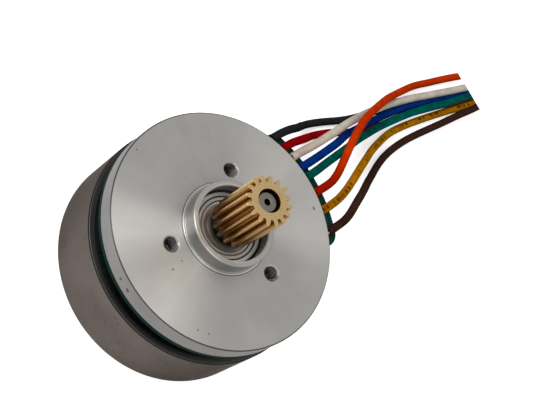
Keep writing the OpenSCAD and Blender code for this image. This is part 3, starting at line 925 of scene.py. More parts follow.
def closed_ends(points: np.ndarray) -> np.ndarray:
    """Closes both ends of a tube, each with a ring drawn together at the end's middle.

    Args:
        points: The tube's rings, of shape (rings, sides, 3).

    Returns:
        The rings, with one more at each end.
    """
    first, last = (np.broadcast_to(ring.mean(axis=0), ring.shape)[None]
                   for ring in (points[0], points[-1]))
    return np.concatenate([first, points, last])


def paint(piece: bpy.types.Object, material: bpy.types.Material) -> None:
    """Puts a finish on a piece.

    Args:
        piece: The piece.
        material: Its finish.
    """
    piece.data.materials.clear()
    piece.data.materials.append(material)
    log.info("%s: %d faces", piece.name, len(piece.data.polygons))


def paint_node(node: str, material: bpy.types.Material) -> None:
    """Puts a finish on a CAD node that stays in view."""
    paint(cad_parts[node], material)


def dress(piece: bpy.types.Object, body: Body, slot: str, material: bpy.types.Material,
          *nodes: str) -> None:
    """Gives a new piece its material and body, and hides the CAD nodes that it replaces.

    Args:
        piece: The piece.
        body: What it rides on.
        slot: Not used.
        material: Its finish.
        nodes: CAD nodes that it replaces.
    """
    paint(piece, material)
    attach(piece, body.value)
    if nodes:
        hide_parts(*nodes)


def rounded_copy(node: str, name: str, width: float) -> bpy.types.Object:
    """Copies a CAD node, with its sharp edges rounded by a small bevel.

    Args:
        node: The node that is copied.
        name: The copy's name.
        width: Width of the bevel in metres.

    Returns:
        The copy, linked into the scene.
    """
    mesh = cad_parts[node].data.copy()
    mesh.name = name
    work = bmesh.new()
    work.from_mesh(mesh)
    bmesh.ops.remove_doubles(work, verts=work.verts, dist=CAD_MERGE_DISTANCE)
    bmesh.ops.dissolve_limit(work, angle_limit=math.radians(FLAT_DEGREES), verts=work.verts,
                             edges=work.edges)
    work.to_mesh(mesh)
    work.free()
    if mesh.has_custom_normals:
        mesh.attributes.remove(mesh.attributes["custom_normal"])
    mesh.shade_smooth()
    made = linked(name, mesh)
    put(made.modifiers.new("edge", "BEVEL"), width=width, segments=BEVEL_STEPS,
        limit_method="ANGLE", angle_limit=math.radians(SHARP_DEGREES), harden_normals=True,
        use_clamp_overlap=True, miter_outer="MITER_ARC")
    return made


def dress_rounded(node: str, name: str, width: float, body: Body, slot: str,
                  material: bpy.types.Material) -> None:
    """Puts a dressed copy of a CAD node, with its sharp edges rounded, in the node's place."""
    dress(rounded_copy(node, name, width), body, slot, material, node)


@dataclass
class Camera:
    """The camera at the photograph's viewing angle."""

    location: Point = (0.00129, -0.20875, 0.29690)
    tilt: float = 37.81
    roll: float = 57.97
    lens: float = 83.74
    sensor: float = 36
    clip: Range = (0.01, 20)

    def build(self) -> None:
        """Makes the camera: tilted back from straight down, then rolled about its own axis."""
        data = bpy.data.cameras.new("camera")
        put(data, lens=self.lens, sensor_width=self.sensor, sensor_fit="HORIZONTAL",
            clip_start=self.clip[0], clip_end=self.clip[1])
        camera = linked("camera", data)
        turn = Matrix.Rotation(math.radians(self.tilt), 4, "X")
        spin = Matrix.Rotation(math.radians(self.roll), 4, "Z")
        camera.matrix_world = Matrix.Translation(self.location) @ turn @ spin
        bpy.context.scene.camera = camera


@dataclass(frozen=True)
class Lamp:
    """One round area lamp, aimed at the motor. Its azimuth counts from -Y towards +X."""

    name: str
    azimuth: float
    elevation: float
    distance: float
    size: float
    power: float
    colour: Colour

    def build(self, target: Vector) -> None:
        """Makes the lamp.

        Args:
            target: The point that it is aimed at.
        """
        a, e = math.radians(self.azimuth), math.radians(self.elevation)
        way = Vector((math.sin(a) * math.cos(e), -math.cos(a) * math.cos(e), math.sin(e)))
        data = bpy.data.lights.new(self.name, "AREA")
        put(data, shape="DISK", size=self.size, energy=self.power, color=self.colour)
        put(linked(self.name, data), location=target + way * self.distance,
            rotation_mode="QUATERNION", rotation_quaternion=(-way).to_track_quat("-Z", "Y"))


@dataclass
class Studio:
    """Pale floor, white surroundings and soft lamps."""

    floor_size: float = 6
    floor_white: float = 0.88
    floor_mottle: float = 0.02
    floor_mottle_scale: float = 2
    floor_roughness: float = 0.9
    floor_glow: float = 0.6
    sky: float = 0.35
    seen_sky: float = 1.0
    lamps: tuple[Lamp, ...] = (
        Lamp("key_lamp", -60, 58, 0.36, 0.17, 0.76, (1, 0.985, 0.98)),
        Lamp("top_lamp", 52, 76, 0.35, 0.16, 0.37, (1, 0.96, 0.93)),
        Lamp("fill_lamp", 120, 40, 1.1, 0.7, 0.6, (0.94, 0.97, 1)),
    )

    def build(self) -> None:
        """Makes the floor, the world and the lamps."""
        bpy.context.scene.view_settings.view_transform = "Standard"
        low, high = CAD_BOX
        target = Vector((0, 0, (low.z + high.z) / 2))
        for lamp in self.lamps:
            lamp.build(target)
        self._floor(low.z)
        self._world()

    def _floor(self, height: float) -> None:
        """A flat square under the motor, white where the camera sees it in full light.

        Args:
            height: The floor's height.
        """
        half = self.floor_size / 2
        side = np.linspace(-half, half, 3)
        x, y = np.meshgrid(side, side, indexing="ij")
        sheet = np.stack([x, y, np.full_like(x, height)], axis=-1)
        floor = surfaces("floor", [sheet], False, False)
        g = Graph.material("floor_paper")
        mottle = g.noise(self.floor_mottle_scale, detail=2)
        bright = around(self.floor_white, mottle, self.floor_mottle)
        grey = g.node("CombineColor", {}, {0: bright, 1: bright, 2: bright})
        paper = g.finish(Base_Color=grey, Roughness=self.floor_roughness)
        lit = Sock(g, g.shader.outputs[0])
        glow = g.node("Emission", {}, {"Color": (1, 1, 1), "Strength": self.floor_glow})
        both = g.node("AddShader", {}, {0: lit, 1: glow})
        seen = g.node("LightPath", out="Is Camera Ray")
        final = g.node("MixShader", {}, {0: seen, 1: lit, 2: both})
        g.feed(g.tree.nodes["Material Output"].inputs["Surface"], final)
        floor.data.materials.append(paper)

    def _world(self) -> None:
        """An even grey sky that lights the motor, and white where the camera or metal sees it."""
        world = bpy.data.worlds.new("studio")
        bpy.context.scene.world = world
        g = Graph(world, "Background")
        seen = g.node("LightPath", out="Is Camera Ray")
        for ray in ("Is Transmission Ray", "Is Glossy Ray"):
            seen = g.math("MAXIMUM", seen, g.node("LightPath", out=ray))
        g.finish(Color=(1, 1, 1), Strength=between(seen, self.sky, self.seen_sky))


def spline(knots: np.ndarray, step: float) -> np.ndarray:
    """A smooth curve through points: a natural cubic spline over the chord length.

    Args:
        knots: Array of shape (n, 3).
        step: Distance between the points of the result.

    Returns:
        Points about step apart along the curve.
    """
    chord = np.concatenate([[0], np.cumsum(np.linalg.norm(np.diff(knots, axis=0), axis=1))])
    h = np.diff(chord)
    n = len(knots)
    system = np.eye(n)
    inner = np.arange(1, n - 1)
    system[inner, inner - 1] = h[:-1]
    system[inner, inner] = 2 * (h[:-1] + h[1:])
    system[inner, inner + 1] = h[1:]
    slope = np.diff(knots, axis=0) / h[:, None]
    right = np.zeros_like(knots)
    right[1:-1] = 6 * np.diff(slope, axis=0)
    bend = np.linalg.solve(system, right)
    at = np.linspace(0, chord[-1], max(2, round(chord[-1] / step) + 1))
    k = np.clip(np.searchsorted(chord, at, side="right") - 1, 0, n - 2)
    t, left, over = at - chord[k], bend[k], bend[k + 1]
    width = h[k][:, None]
    t = t[:, None]
    rise = slope[k] - width * (2 * left + over) / 6
    return knots[k] + t * rise + t ** 2 * left / 2 + t ** 3 * (over - left) / (6 * width)


@dataclass
class Tube:
    """A round section carried along a path, with a profile of radius over length.

    With a cut, the last ring lies in a slanting plane: each point slides along the path's
    last direction by its height over that plane, and the slide fades out over a short reach.
    """

    path: np.ndarray
    sides: int = 24
    cut: np.ndarray | None = None
    reach: float = 3.5 * MM
    length: float = field(init=False)

    def __post_init__(self) -> None:
        """Works out the arc length and the section's own axes."""
        steps = np.linalg.norm(np.diff(self.path, axis=0), axis=1)
        self.along = np.concatenate([[0], np.cumsum(steps)])
        self.length = float(self.along[-1])
        tangent = np.gradient(self.path, self.along, axis=0)
        self.tangent = tangent / np.linalg.norm(tangent, axis=1, keepdims=True)
        side = np.cross(self.tangent, [0, 0, 1])
        self.side = side / np.linalg.norm(side, axis=1, keepdims=True)
        self.up = np.cross(self.side, self.tangent)

    def at(self, s: np.ndarray, values: np.ndarray) -> np.ndarray:
        """Values of the path at arc length s."""
        return np.stack([np.interp(s, self.along, values[:, i]) for i in range(3)], axis=-1)

    def skin(self, s: np.ndarray, radius: np.ndarray,
             shift: Range = (0, 0)) -> tuple[np.ndarray, np.ndarray]:
        """Points and map of the tube: centre(s) + radius(s) times the turning section.

        Args:
            s: Arc length of each ring.
            radius: Radius of each ring.
            shift: Offset of the tube from the path, sideways and upwards.

        Returns:
            Points of shape (rings, sides, 3) and their map of shape (rings, sides, 2).
        """
        turn = turns(self.sides)
        cosine, sine = np.cos(turn)[None, :, None], np.sin(turn)[None, :, None]
        side, up = self.at(s, self.side), self.at(s, self.up)
        offset = shift[0] * side + shift[1] * up
        ring = cosine * side[:, None] + sine * up[:, None]
        out = offset[:, None] + radius[:, None, None] * ring
        points = self.at(s, self.path)[:, None] + out
        if self.cut is not None:
            way = self.tangent[-1]
            share = np.clip(1 - (self.length - s) / self.reach, 0, 1)
            slide = out @ (self.cut / (self.cut @ way)) * share[:, None]
            points = points - slide[..., None] * way
        uv = np.stack(np.broadcast_arrays(s[:, None], turn[None] / TAU), axis=-1)
        return points, uv


@dataclass(frozen=True)
class Lead:
    """One lead, with where it leaves the board and the points of its route in millimetres."""

    name: str
    finish: Insulation
    exit_x: float
    route: tuple[Point, ...]


# The leads leave their solder on this circle about the shaft.
EXIT_R = 38.5 * MM

LEADS = (
    Lead("black", Insulation("black_pvc", srgb(36, 39, 42)), -15.5, (
        (-15.5, 39, -5), (-15.3, 43, -6), (-14.8, 49.8, -10), (-14.9, 55.9, -15.2),
        (-15.2, 61.2, -21.2), (-15.4, 66.3, -27.2), (-15.3, 72.8, -32), (-13.6, 80.2, -33.7),
        (-10.8, 87.9, -33.7), (-8.8, 95.4, -33.7), (-7.4, 103.4, -33.7), (-6, 111.4, -33.7),
        (-4.6, 119.4, -33.7), (-2.8, 127.4, -33.7), (-0.8, 135.4, -33.7), (1.4, 142.9, -33.7),
        (2.9, 149.7, -33.7))),
    Lead("red", Insulation("red_pvc", srgb(158, 8, 14), painted_shade=0.7), -11.3, (
        (-11.3, 41, -5), (-10.9, 45, -6.2), (-10.6, 51.6, -10.5), (-10.8, 57.1, -16.5),
        (-11, 62.2, -22.5), (-11.2, 67.1, -28.2), (-11, 73.1, -32.5), (-9.5, 79.6, -33.7),
        (-6.6, 86.6, -33.7), (-3.8, 93.5, -33.7), (-2.3, 101, -33.7), (-1.3, 111.4, -33.7),
        (0, 119.4, -33.7), (1.7, 127.4, -33.7), (3.7, 135.4, -33.7), (6.2, 142.9, -33.7),
        (7.6, 149.5, -33.7))),
    Lead("white", Insulation("white_pvc", srgb(194, 186, 174)), -7.6, (
        (-7.6, 41, -5), (-7.4, 46, -5.1), (-7.4, 53.5, -6.2), (-7.6, 61, -8.5),
        (-7.9, 68.5, -11.5), (-8, 76, -15), (-8, 83, -18.7), (-7.9, 90, -22.4),
        (-7.5, 97.5, -25.5), (-6.9, 105, -28), (-5.8, 112.4, -29.6), (-4.2, 119.8, -30),
        (-2.2, 127.1, -29.8), (-0.2, 134.4, -29.7), (1.8, 142.3, -29.9), (2.6, 145.7, -30))),
    Lead("blue", Insulation("blue_pvc", srgb(4, 50, 126)), -3.6, (
        (-3.6, 41.5, -5), (-3.7, 46.5, -5.5), (-4, 54, -7.4), (-4.4, 61.5, -10.5),
        (-5, 68.5, -14.4), (-5.3, 75, -18.8), (-5.2, 82, -23.1), (-5.2, 88.5, -26.8),
        (-4.9, 96, -29.8), (-4.5, 103.5, -31.6), (-3.7, 111.5, -32.1), (-2.3, 119.4, -32.1),
        (-0.6, 127.4, -32.1), (1.5, 135.3, -32), (3.8, 142.8, -32.1), (5, 147.9, -32.1))),
    Lead("green", Insulation("green_pvc", srgb(0, 88, 80), srgb(4, 40, 36), 0.5), -0.3, (
        (-0.3, 41.5, -5), (-0.6, 46.5, -5.3), (-1, 54, -7.2), (-1.3, 61.5, -10.2),
        (-1.6, 68.5, -14), (-1.9, 75.5, -18.2), (-2, 82.5, -22.3), (-2, 89.5, -26),
        (-1.9, 97, -28.7), (-1.4, 104.5, -30), (-0.5, 112.4, -30), (0.7, 119.7, -30),
        (2.2, 126.9, -30), (4, 135, -30), (5.5, 142.8, -30), (6.2, 145.5, -30))),
    Lead("orange", Insulation("orange_pvc", srgb(192, 52, 4), painted_shade=0.95), 5.1, (
        (5.1, 41.5, -5), (4.9, 46, -5), (2.1, 53.4, -5), (-1.3, 60.9, -6), (-3.8, 68, -7.9),
        (-5.8, 75.4, -10.6), (-6.9, 82.4, -13.8), (-7.6, 89.5, -17.4), (-8.2, 97, -21.3),
        (-8.6, 104, -24.8), (-8.6, 111, -28), (-8.4, 118.4, -30.8), (-7.8, 126.4, -32.8),
        (-6.3, 133.7, -33.7), (-4.4, 141.8, -33.7), (-2.3, 149.7, -33.7))),
    Lead("yellow", Insulation("yellow_pvc", srgb(168, 112, 3), srgb(58, 28, 6), 0.9), 10.7, (
        (10.7, 40, -5), (10.4, 45, -5.2), (8.9, 52.6, -6.7), (7.1, 60.2, -9.4),
        (5.7, 67.3, -12.9), (4.6, 74.3, -17), (3.7, 80.7, -21.1), (2.9, 87.7, -25.1),
        (2.3, 94.6, -28.8), (1.8, 102.2, -31.9), (2.1, 110.2, -33.7), (3.1, 117.7, -33.7),
        (4.4, 125.4, -33.7), (6.1, 134, -33.4), (7.9, 141, -32), (9.1, 147.4, -31.8))),
    Lead("brown", Insulation("brown_pvc", srgb(56, 35, 29)), 17, (
        (17, 38, -5), (16.8, 42.6, -5.2), (15, 50.3, -7), (13.4, 57.5, -10),
        (12.1, 64.6, -14.2), (11.2, 71, -18.7), (10.4, 77.5, -23.3), (9.5, 83.9, -27.6),
        (8.2, 91.2, -31), (7.2, 98.6, -33.2), (6.8, 106.5, -33.7), (7.2, 114.3, -33.5),
        (8, 121.4, -32.8), (8.8, 128.5, -32), (9.5, 135.6, -31.5), (10.4, 142.3, -30.2),
        (10.7, 145.3, -29.9))),
)


@dataclass
class Leads:
    """Eight leads that leave the board's tab, droop to the floor and run together.

    One slanting snip has cut them all, and snip is the normal of its plane.
    """

    diameter: float = 2.6 * MM
    core: float = 1.2 * MM
    exit_z: float = -5 * MM
    step: float = 0.9 * MM
    edge: float = 0.14 * MM
    recess: float = 0.25 * MM
    corner_steps: int = 5
    strand: float = 0.19 * MM
    strand_length: float = 1.5 * MM
    strand_sides: int = 10
    dome_steps: int = 4
    dome_height: float = 0.5
    stagger: float = 0.02 * MM
    snip: Point = (0.0262, 0.6777, 0.7349)
    rest_z: float = field(init=False)

    def __post_init__(self) -> None:
        """Takes the floor from the frame."""
        self.rest_z = CAD_BOX[0].z + self.diameter / 2

    def build(self) -> None:
        """Builds every lead with the cut strands in its end."""
        copper = Enamel("cut_copper", srgb(196, 120, 76)).build()
        for lead in LEADS:
            self._lead(lead, copper)

    def centre(self, lead: Lead) -> np.ndarray:
        """The lead's centre line: a smooth curve from the solder, never under the floor.

        Args:
            lead: The lead.

        Returns:
            Points of shape (n, 3), in metres.
        """
        start = (lead.exit_x, math.sqrt((EXIT_R / MM) ** 2 - lead.exit_x ** 2),
                 self.exit_z / MM)
        path = spline(np.array([start, *lead.route]) * MM, self.step)
        path[:, 2] = np.maximum(path[:, 2], self.rest_z)
        return path

    def _lead(self, lead: Lead, copper: bpy.types.Material) -> None:
        """Builds one lead: insulation with a rounded, hollowed end, and seven strands in it.

        Args:
            lead: The lead.
            copper: The finish of its strands.
        """
        path = self.centre(lead)
        tube = Tube(path, cut=np.array(self.snip))
        r, core, e, end = self.diameter / 2, [self.core / 2] * 2, self.edge, tube.length
        corner = np.linspace(0, math.pi / 2, self.corner_steps)
        body = np.arange(e, end - e, self.step)
        first = e - e * np.cos(corner)
        s = np.concatenate([[self.recess, 0], first[:-1], body, end - first[::-1],
                            [end, end - self.recess]])
        round_in, round_out = r - e + e * np.sin(corner[:-1]), r - e + e * np.sin(corner[::-1])
        radius = np.concatenate([core, round_in, np.full(len(body), r), round_out, core])
        points, uv = tube.skin(s, radius)
        node = f"lead_{lead.name}"
        piece = surfaces(f"{node}_insulation", [closed_ends(points)], False, True,
                         [np.concatenate([uv[:1], uv, uv[-1:]])])
        dress(piece, Body.STATOR, f"{lead.name}_insulation", lead.finish.build(), node)
        strands = self._strands(tube, f"{node}_strands")
        dress(strands, Body.STATOR, "enamelled_wire", copper)

    def _strands(self, tube: Tube, name: str) -> bpy.types.Object:
        """Seven short round-ended strands in the lead's cut end, one in the middle of six.

        Args:
            tube: The lead's tube.
            name: The piece's name.

        Returns:
            The strands, as one piece.
        """
        turn, ring = turns(6), 2 * self.strand
        shifts = [(0.0, 0.0), *zip(ring * np.cos(turn), ring * np.sin(turn))]
        thin = Tube(tube.path, sides=self.strand_sides, cut=tube.cut)
        dome = np.linspace(0, math.pi / 2, self.dome_steps)
        radius = np.concatenate([[self.strand], self.strand * np.cos(dome)])
        grids = []
        for k, shift in enumerate(shifts):
            tip = tube.length - self.stagger * (1 + k % 3)
            s = np.concatenate([[tip - self.strand_length],
                                tip - self.strand * (1 - np.sin(dome)) * self.dome_height])
            grids.append(closed_ends(thin.skin(s, radius, shift)[0]))
        return surfaces(name, grids, False, True)


@dataclass
class Flange:
    """Turned aluminium flange with fine threads in its three holes."""

    edge: float = 0.12 * MM
    hole_circle_r: float = 18.25 * MM
    hole_turn: float = 16.8
    hole_count: int = 3
    hole_r: float = 2.0 * MM
    sleeve_gap: float = 0.004 * MM
    crest_r: float = 1.66 * MM
    thread_top: float = -0.3 * MM
    thread_bottom: float = -4.8 * MM
    thread_rows: int = 79
    thread_sides: int = 48
    pitch: float = 0.7 * MM
    wave_gain: float = 1.25
    crest_flat: float = 0.1
    deepest: float = 0.97
    polished_r: float = 13.6 * MM
    # Painted shade and highlights: dark deep in the holes and in the bore below its chamfer, a
    # dark, a light and a dark line round the boss's foot as the shade and highlight of its step,
    # and a dark line of shade at the face's outer edge.
    rings: tuple[Ring, ...] = (
        Ring(15.9, 20.6, -20, -1.2, 0.07),
        Ring(0, 11.06, -20, 4.75, 0.18),
        Ring(12.66, 12.86, -1, 0.25, 0.1),
        Ring(13.2, 13.5, -1, 1, 0.5),
        Ring(13.54, 13.74, -1, 1, 0.08),
        Ring(34.62, 34.94, -1, 1, 0.06),
    )
    # A painted highlight on the chamfer at the mouth of the bore.
    highlight_edge: Ring = Ring(10.98, 11.5, 4.75, 20, 1.5)
    pits: tuple[Pit, ...] = (
        Pit(-31.2, -11, 0, 0.38), Pit(8.6, 30.7, 0, 0.6), Pit(1.8, -21.6, 0, 0.4),
        Pit(1.2, -17.8, 0, 0.3), Pit(19.1, -25.1, 0, 0.35), Pit(21.6, -22.8, 0, 0.35),
        Pit(-3.4, -34.8, -3.4, 0.6), Pit(0.1, -35, -3.35, 0.8),
    )

    def build(self) -> None:
        """Builds the flange's skin and its threads."""
        # The wall is painted a little darker than the face, as shade on the side.
        metal = TurnedMetal(
            "turned_aluminium", colour=srgb(158, 157, 154), shade=srgb(150, 148, 144),
            wall=srgb(149, 148, 146), roughness=0.42, sheen=0.8, polished_r=self.polished_r,
            pits=self.pits, rings=self.rings, highlight_edge=self.highlight_edge)
        dress_rounded("front_flange", "flange_skin", self.edge, Body.STATOR, "flange",
                      metal.build())
        cut = CutThread("threaded_aluminium", crest=srgb(122, 120, 116), shaded_root=srgb(16, 15, 14))
        dress(self._threads(), Body.STATOR, "flange", cut.build())

    def _threads(self) -> bpy.types.Object:
        """A sleeve in each hole whose inner wall is a helix.

        The inner radius is a triangle wave of the height less the turn's share of the pitch,
        with flat crests and roots.

        Returns:
            The sleeves, as one piece.
        """
        turn = turns(self.thread_sides)
        z = np.linspace(self.thread_top, self.thread_bottom, self.thread_rows)
        height, angle = np.meshgrid(z, turn, indexing="ij")
        wave = np.abs(2 * ((height / self.pitch - angle / TAU) % 1) - 1)
        cut = np.clip(self.wave_gain * wave - self.crest_flat, 0, self.deepest)
        inner = self.crest_r + (self.hole_r - self.crest_r) * cut
        outer = np.full((1, self.thread_sides), self.hole_r - self.sleeve_gap)
        radius = np.concatenate([outer, inner, outer])
        level, depth = (np.concatenate([a[:1], a, a[-1:]]) for a in (height, wave))
        uv = np.stack([depth, level / self.thread_bottom], axis=-1)
        grids = []
        for place in math.radians(self.hole_turn) + turns(self.hole_count):
            x = radius * np.cos(turn) + self.hole_circle_r * math.cos(place)
            y = radius * np.sin(turn) + self.hole_circle_r * math.sin(place)
            grids.append(np.stack([x, y, level], axis=-1))
        return surfaces("hole_threads", grids, True, True, [uv] * self.hole_count)


@dataclass
class Bearings:
    """Both ball bearings, with ground rings and pressed shields. Tones lie in millimetres."""

    edge: float = 0.08 * MM
    # Painted shade on the rings: the groove beside the shield, and the rounded corner in the seat.
    ring_tones: Tones = ((9.3, 9.5, srgb(36, 33, 31)), (10.45, 11.2, srgb(54, 49, 46)))
    # Painted light on the shields: a brownish reflection of the pinion, a highlight on the bead,
    # and shade in the groove and at the rim.
    shield_tones: Tones = (
        (6.0, 7.34, srgb(100, 90, 82)), (7.36, 7.8, srgb(214, 206, 198)),
        (7.85, 8.2, srgb(32, 28, 26)), (9.04, 9.4, srgb(40, 36, 34)),
    )

    def build(self) -> None:
        """Dresses the rings, shields, balls, cages and the wave washer."""
        ring = RingedSteel("ring_steel", srgb(172, 168, 162), self.ring_tones).build()
        shield = RingedSteel("shield_sheet", srgb(150, 146, 140), self.shield_tones).build()
        ball = GroundSteel("ball_steel", srgb(200, 200, 202), roughness=0.08, haze=0.05).build()
        cage = GroundSteel("cage_brass", srgb(184, 146, 84), roughness=0.3, haze=0.2).build()
        spring = GroundSteel("spring_sheet", srgb(120, 120, 122), roughness=0.3).build()
        for end in ("front", "rear"):
            for side, body in (("outer", Body.STATOR), ("inner", Body.ROTOR)):
                dress_rounded(f"{end}_bearing_{side}_ring", f"{end}_{side}_ring", self.edge, body,
                              "bearing_steel", ring)
            for part, finish in (("shields", shield), ("balls", ball), ("cage", cage)):
                paint_node(f"{end}_bearing_{part}", finish)
        paint_node("wave_washer", spring)


@dataclass
class Output:
    """Brass pinion, the shaft in it and the spacer ring below it. Tones lie in millimetres."""

    crest_r: Range = (6.3 * MM, 7.1 * MM)
    bore_r: float = 3.42 * MM
    inner_shade_z: Range = (6 * MM, 21 * MM)
    edge: float = 0.1 * MM
    # Painted shade on the shaft's end: the centre hole nearly black and the chamfer dark, with a
    # thin grey ring between them.
    end_rings: tuple[Ring, ...] = (
        Ring(0, 0.95, 15, 30, 0.006),
        Ring(1.9, 2.1, 20, 30, 0.15),
        Ring(2.72, 3.1, 20, 30, 0.04),
    )
    collar_tones: Tones = ((0, 5.3, srgb(8, 20, 24)), (5.3, 5.85, srgb(54, 52, 50)))

    def build(self) -> None:
        """Dresses the pinion, the shaft and the ring."""
        brass = CutBrass(
            "pinion_brass", crest=srgb(212, 180, 126), flank=srgb(164, 112, 48),
            face=srgb(170, 148, 106), inner_shade=srgb(138, 90, 42), crest_r=self.crest_r,
            bore_r=self.bore_r, inner_shade_z=self.inner_shade_z)
        dress_rounded("pinion", "pinion_teeth", self.edge, Body.ROTOR, "pinion_brass",
                      brass.build())
        steel = TurnedMetal(
            "shaft_steel", colour=srgb(113, 108, 102), shade=srgb(100, 95, 90),
            wall=srgb(136, 131, 127), roughness=0.36, sheen=0.3, rings=self.end_rings)
        dress_rounded("shaft", "shaft_ground", self.edge, Body.ROTOR, "shaft_steel",
                      steel.build())
        collar = RingedSteel("blackened_steel", srgb(104, 96, 90), self.collar_tones, matt=0.3)
        paint_node("spacer_ring", collar.build())


@dataclass
class Board:
    """Circuit board with pads, solder and the parts that hang under it."""

    top: float = -6.3 * MM
    lead_lift: float = 1.3 * MM
    mound_back: float = 1.6 * MM
    mound_r: float = 1.35 * MM
    mound_h: float = 1.75 * MM
    mound_rings: int = 15
    mound_sides: int = 28
    mound_power: float = 0.8
    narrower: float = 0.94
    lumps: Range = (0.06, 0.04)
    foot_h: float = 0.02 * MM
    pad_half: Range = (1.4 * MM, 1.75 * MM)
    pad_t: float = 0.03 * MM
    pad_sides: int = 32
    pad_power: float = 5
    strand: float = 0.2 * MM
    strand_count: int = 7
    strand_twist: float = 1.6
    strand_reach: float = 0.2 * MM
    strand_rings: int = 9
    strand_sides: int = 8

    def build(self) -> None:
        """Dresses the board, its screws and sensors, and builds its solder joints."""
        mask = SolderMask("board_mask", mask=srgb(2, 40, 34), track=srgb(8, 54, 47),
                          edge=srgb(4, 48, 41))
        paint_node("circuit_board", mask.build())
        plated = GroundSteel("plated_screw", srgb(176, 176, 174), roughness=0.25)
        paint_node("board_screws", plated.build())
        epoxy = MouldedPlastic("sensor_epoxy", srgb(34, 34, 37), roughness=0.4, gloss=0.3)
        paint_node("hall_sensors", epoxy.build())
        solder = GroundSteel("solder_tin", srgb(186, 187, 189), roughness=0.24, haze=0.35,
                             scale=900)
        dress(self._joints(), Body.STATOR, "solder", solder.build(), "solder_joints")
        strand = GroundSteel("tinned_strand", srgb(190, 176, 160), roughness=0.26)
        dress(self._strands(), Body.STATOR, "solder", strand.build())
        pad = GroundSteel("tinned_pad", srgb(196, 196, 192), roughness=0.22)
        dress(self._pads(), Body.STATOR, "solder", pad.build())

    def _places(self) -> list[tuple[float, float]]:
        """X of each lead's stripped end, and Y of its mound's middle."""
        ends = [lead.exit_x * MM for lead in LEADS]
        return [(x, math.sqrt(EXIT_R ** 2 - x ** 2) - self.mound_back) for x in ends]

    def _joints(self) -> bpy.types.Object:
        """Solder mounds: height falls from the crown as a raised cosine, so the foot is hollow.

        The outline is an oval that two cosines of the turn make uneven.

        Returns:
            The mounds, as one piece.
        """
        s = np.linspace(0, 1, self.mound_rings)[:, None]
        turn = turns(self.mound_sides)[None]
        fall = (0.5 + 0.5 * np.cos(math.pi * s)) ** self.mound_power
        two, three = self.lumps
        grids = []
        for k, (x, middle) in enumerate(self._places()):
            lump = 1 + two * np.cos(2 * turn + k) + three * np.cos(3 * turn + 2 * k)
            reach = s * self.mound_r * lump
            px = x + self.narrower * reach * np.cos(turn)
            py = middle + reach * np.sin(turn)
            pz = self.top + self.foot_h + self.mound_h * fall * np.ones_like(turn)
            foot = np.stack([px[-1:], py[-1:], np.full_like(px[-1:], self.top)], axis=-1)
            base = np.broadcast_to(np.array([x, middle, self.top]), foot.shape)
            grids.append(np.concatenate([np.stack([px, py, pz], axis=-1), foot, base]))
        return surfaces("solder_mounds", grids, False, True)

    def _strands(self) -> bpy.types.Object:
        """Twisted strands from each mound into its lead: helices about a straight one.

        Returns:
            The strands, as one piece.
        """
        s = np.linspace(0, 1, self.strand_rings)
        turn = turns(self.strand_sides)
        grids = []
        for x, middle in self._places():
            cy = middle + s * (self.mound_back + self.strand_reach)
            for k in range(self.strand_count):
                off = 2 * self.strand * (k > 0)
                angle = k * TAU / (self.strand_count - 1) + s * self.strand_twist
                cx = x + off * np.cos(angle)
                cz = self.top + self.lead_lift + off * np.sin(angle)
                px = cx[:, None] + self.strand * np.cos(turn)
                pz = cz[:, None] + self.strand * np.sin(turn)
                py = np.broadcast_to(cy[:, None], px.shape)
                grids.append(closed_ends(np.stack([px, py, pz], axis=-1)))
        return surfaces("tinned_strands", grids, False, True)

    def _pads(self) -> bpy.types.Object:
        """Tinned pads: flat rounded rectangles, drawn as superellipses.

        Returns:
            The pads, as one piece.
        """
        turn = turns(self.pad_sides)
        px, py = (half * np.sign(way) * np.abs(way) ** (2 / self.pad_power)
                  for half, way in zip(self.pad_half, (np.cos(turn), np.sin(turn))))
        share = np.array([0, 1, 1, 1, 0])[:, None]
        lift = np.array([1, 1, 1, 0, 0])[:, None] * self.pad_t
        grids = [np.stack([x + share * px, middle + share * py,
                           self.top + lift * np.ones_like(px)], axis=-1)
                 for x, middle in self._places()]
        return surfaces("solder_pads", grids, False, True)


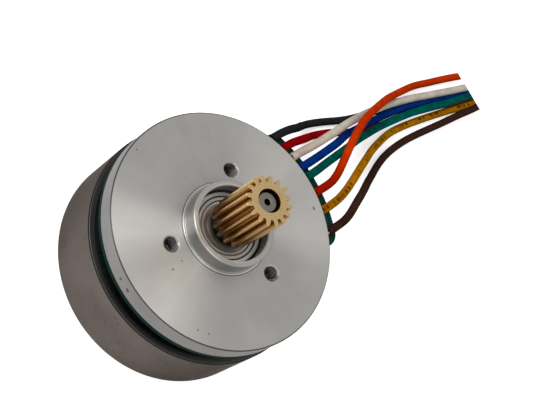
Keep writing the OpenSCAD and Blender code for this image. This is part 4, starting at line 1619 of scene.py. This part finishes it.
@dataclass
class Stator:
    """Laminated core with its insulators and twelve wound coils."""

    slots: int = 12
    wire: float = 0.8 * MM
    layers: int = 3
    window: Range = (5.28 * MM, 13.64 * MM)
    middle_z: float = -22.25 * MM
    inner_r: float = 17.94 * MM
    outer_r: float = 26.53 * MM
    gap: float = 0.15 * MM
    arc_steps: int = 6
    turn_steps: int = 6

    def build(self) -> None:
        """Dresses the core and insulators and builds the coils."""
        sheet = StackedSheet("lamination_edges", srgb(120, 120, 122)).build()
        plastic = MouldedPlastic("insulator_plastic", srgb(206, 200, 184), roughness=0.5).build()
        copper = Enamel("enamelled_copper", srgb(176, 92, 44)).build()
        for node, finish in (("stator_core", sheet), ("upper_insulator", plastic),
                             ("lower_insulator", plastic), ("phase_wires", copper)):
            paint_node(node, finish)
        dress(self._coils(), Body.STATOR, "enamelled_wire", copper, "windings")

    def _profile(self) -> tuple[np.ndarray, np.ndarray]:
        """Radius along the tooth and height of the wound turns over the window.

        Each turn is half a circle. A layer starts where the slot is wide enough for it.

        Returns:
            The radius and the height of each point of the profile.
        """
        half = self.window[0] / 2
        limit = math.tan(math.pi / self.slots)
        count = int((self.outer_r - self.inner_r) / self.wire)
        r = self.wire / 2
        arc = np.linspace(math.pi, 0, self.turn_steps)
        along, height = [], []
        for k in range(count):
            middle = self.outer_r - (count - k - 0.5) * self.wire
            fits = [n for n in range(1, self.layers + 1)
                    if (middle - r) * limit >= half + n * self.wire + self.gap or n == 1]
            along.append(middle + r * np.cos(arc))
            height.append(max(fits) * self.wire - r + r * np.sin(arc))
        along, height = np.concatenate(along), np.concatenate(height)
        return np.pad(along, 1, "edge"), np.pad(height, 1)

    def _coils(self) -> bpy.types.Object:
        """Coils: the profile carried round the window, its height turned out round each corner.

        Returns:
            The coils, as one piece.
        """
        along, height = self._profile()
        quarter = np.linspace(0, math.pi / 2, self.arc_steps)
        across = np.repeat([1, -1, -1, 1], self.arc_steps) * (self.window[0] / 2)
        upward = np.repeat([1, 1, -1, -1], self.arc_steps) * (self.window[1] / 2)
        way = (quarter + (np.arange(4) * math.pi / 2)[:, None]).ravel()
        side = across + height[:, None] * np.cos(way)
        z = self.middle_z + upward + height[:, None] * np.sin(way)
        reach = np.broadcast_to(along[:, None], side.shape)
        grids = []
        for a in turns(self.slots):
            x = reach * math.cos(a) - side * math.sin(a)
            y = reach * math.sin(a) + side * math.cos(a)
            grids.append(np.stack([x, y, z], axis=-1))
        return surfaces("wound_coils", grids, True, True)


@dataclass
class Rotor:
    """Steel cup with its magnets."""

    edge: float = 0.15 * MM
    # Painted shade: the rim's face, under the flange and board, is dark grey, and its outer bevel
    # is nearly black, so that it catches no light.
    rings: tuple[Ring, ...] = (
        Ring(33, 35.3, -13.1, -12.9, 0.065),
        Ring(35.24, 35.6, -13.4, -12.9, 0.018),
    )

    def build(self) -> None:
        """Dresses the cup and the magnets."""
        steel = TurnedMetal(
            "cup_steel", colour=srgb(138, 132, 126), shade=srgb(120, 113, 108),
            wall=srgb(130, 122, 117), roughness=0.42, sheen=0.3, blotch_scale=50,
            blotch_dark=0.8, pores=Pores(), rings=self.rings, edge_tint=0.25)
        dress_rounded("rotor_cup", "cup_shell", self.edge, Body.ROTOR, "cup_steel",
                      steel.build())
        # The magnets are painted dark green: the deep shade of the gap under the board, and a
        # painted reflection of the board's green.
        coat = MouldedPlastic("magnet_painted_shade", srgb(26, 38, 36), roughness=0.5, gloss=0.2)
        paint_node("magnets", coat.build())


def main() -> None:
    """Builds the studio and every sub-assembly."""
    logging.basicConfig(level=logging.INFO, format="%(name)s %(message)s")
    Camera().build()
    Studio().build()
    for assembly in (Leads(), Flange(), Bearings(), Output(), Board(), Stator(), Rotor()):
        log.info("building %s", type(assembly).__name__.lower())
        assembly.build()


if __name__ == "__main__":
    main()
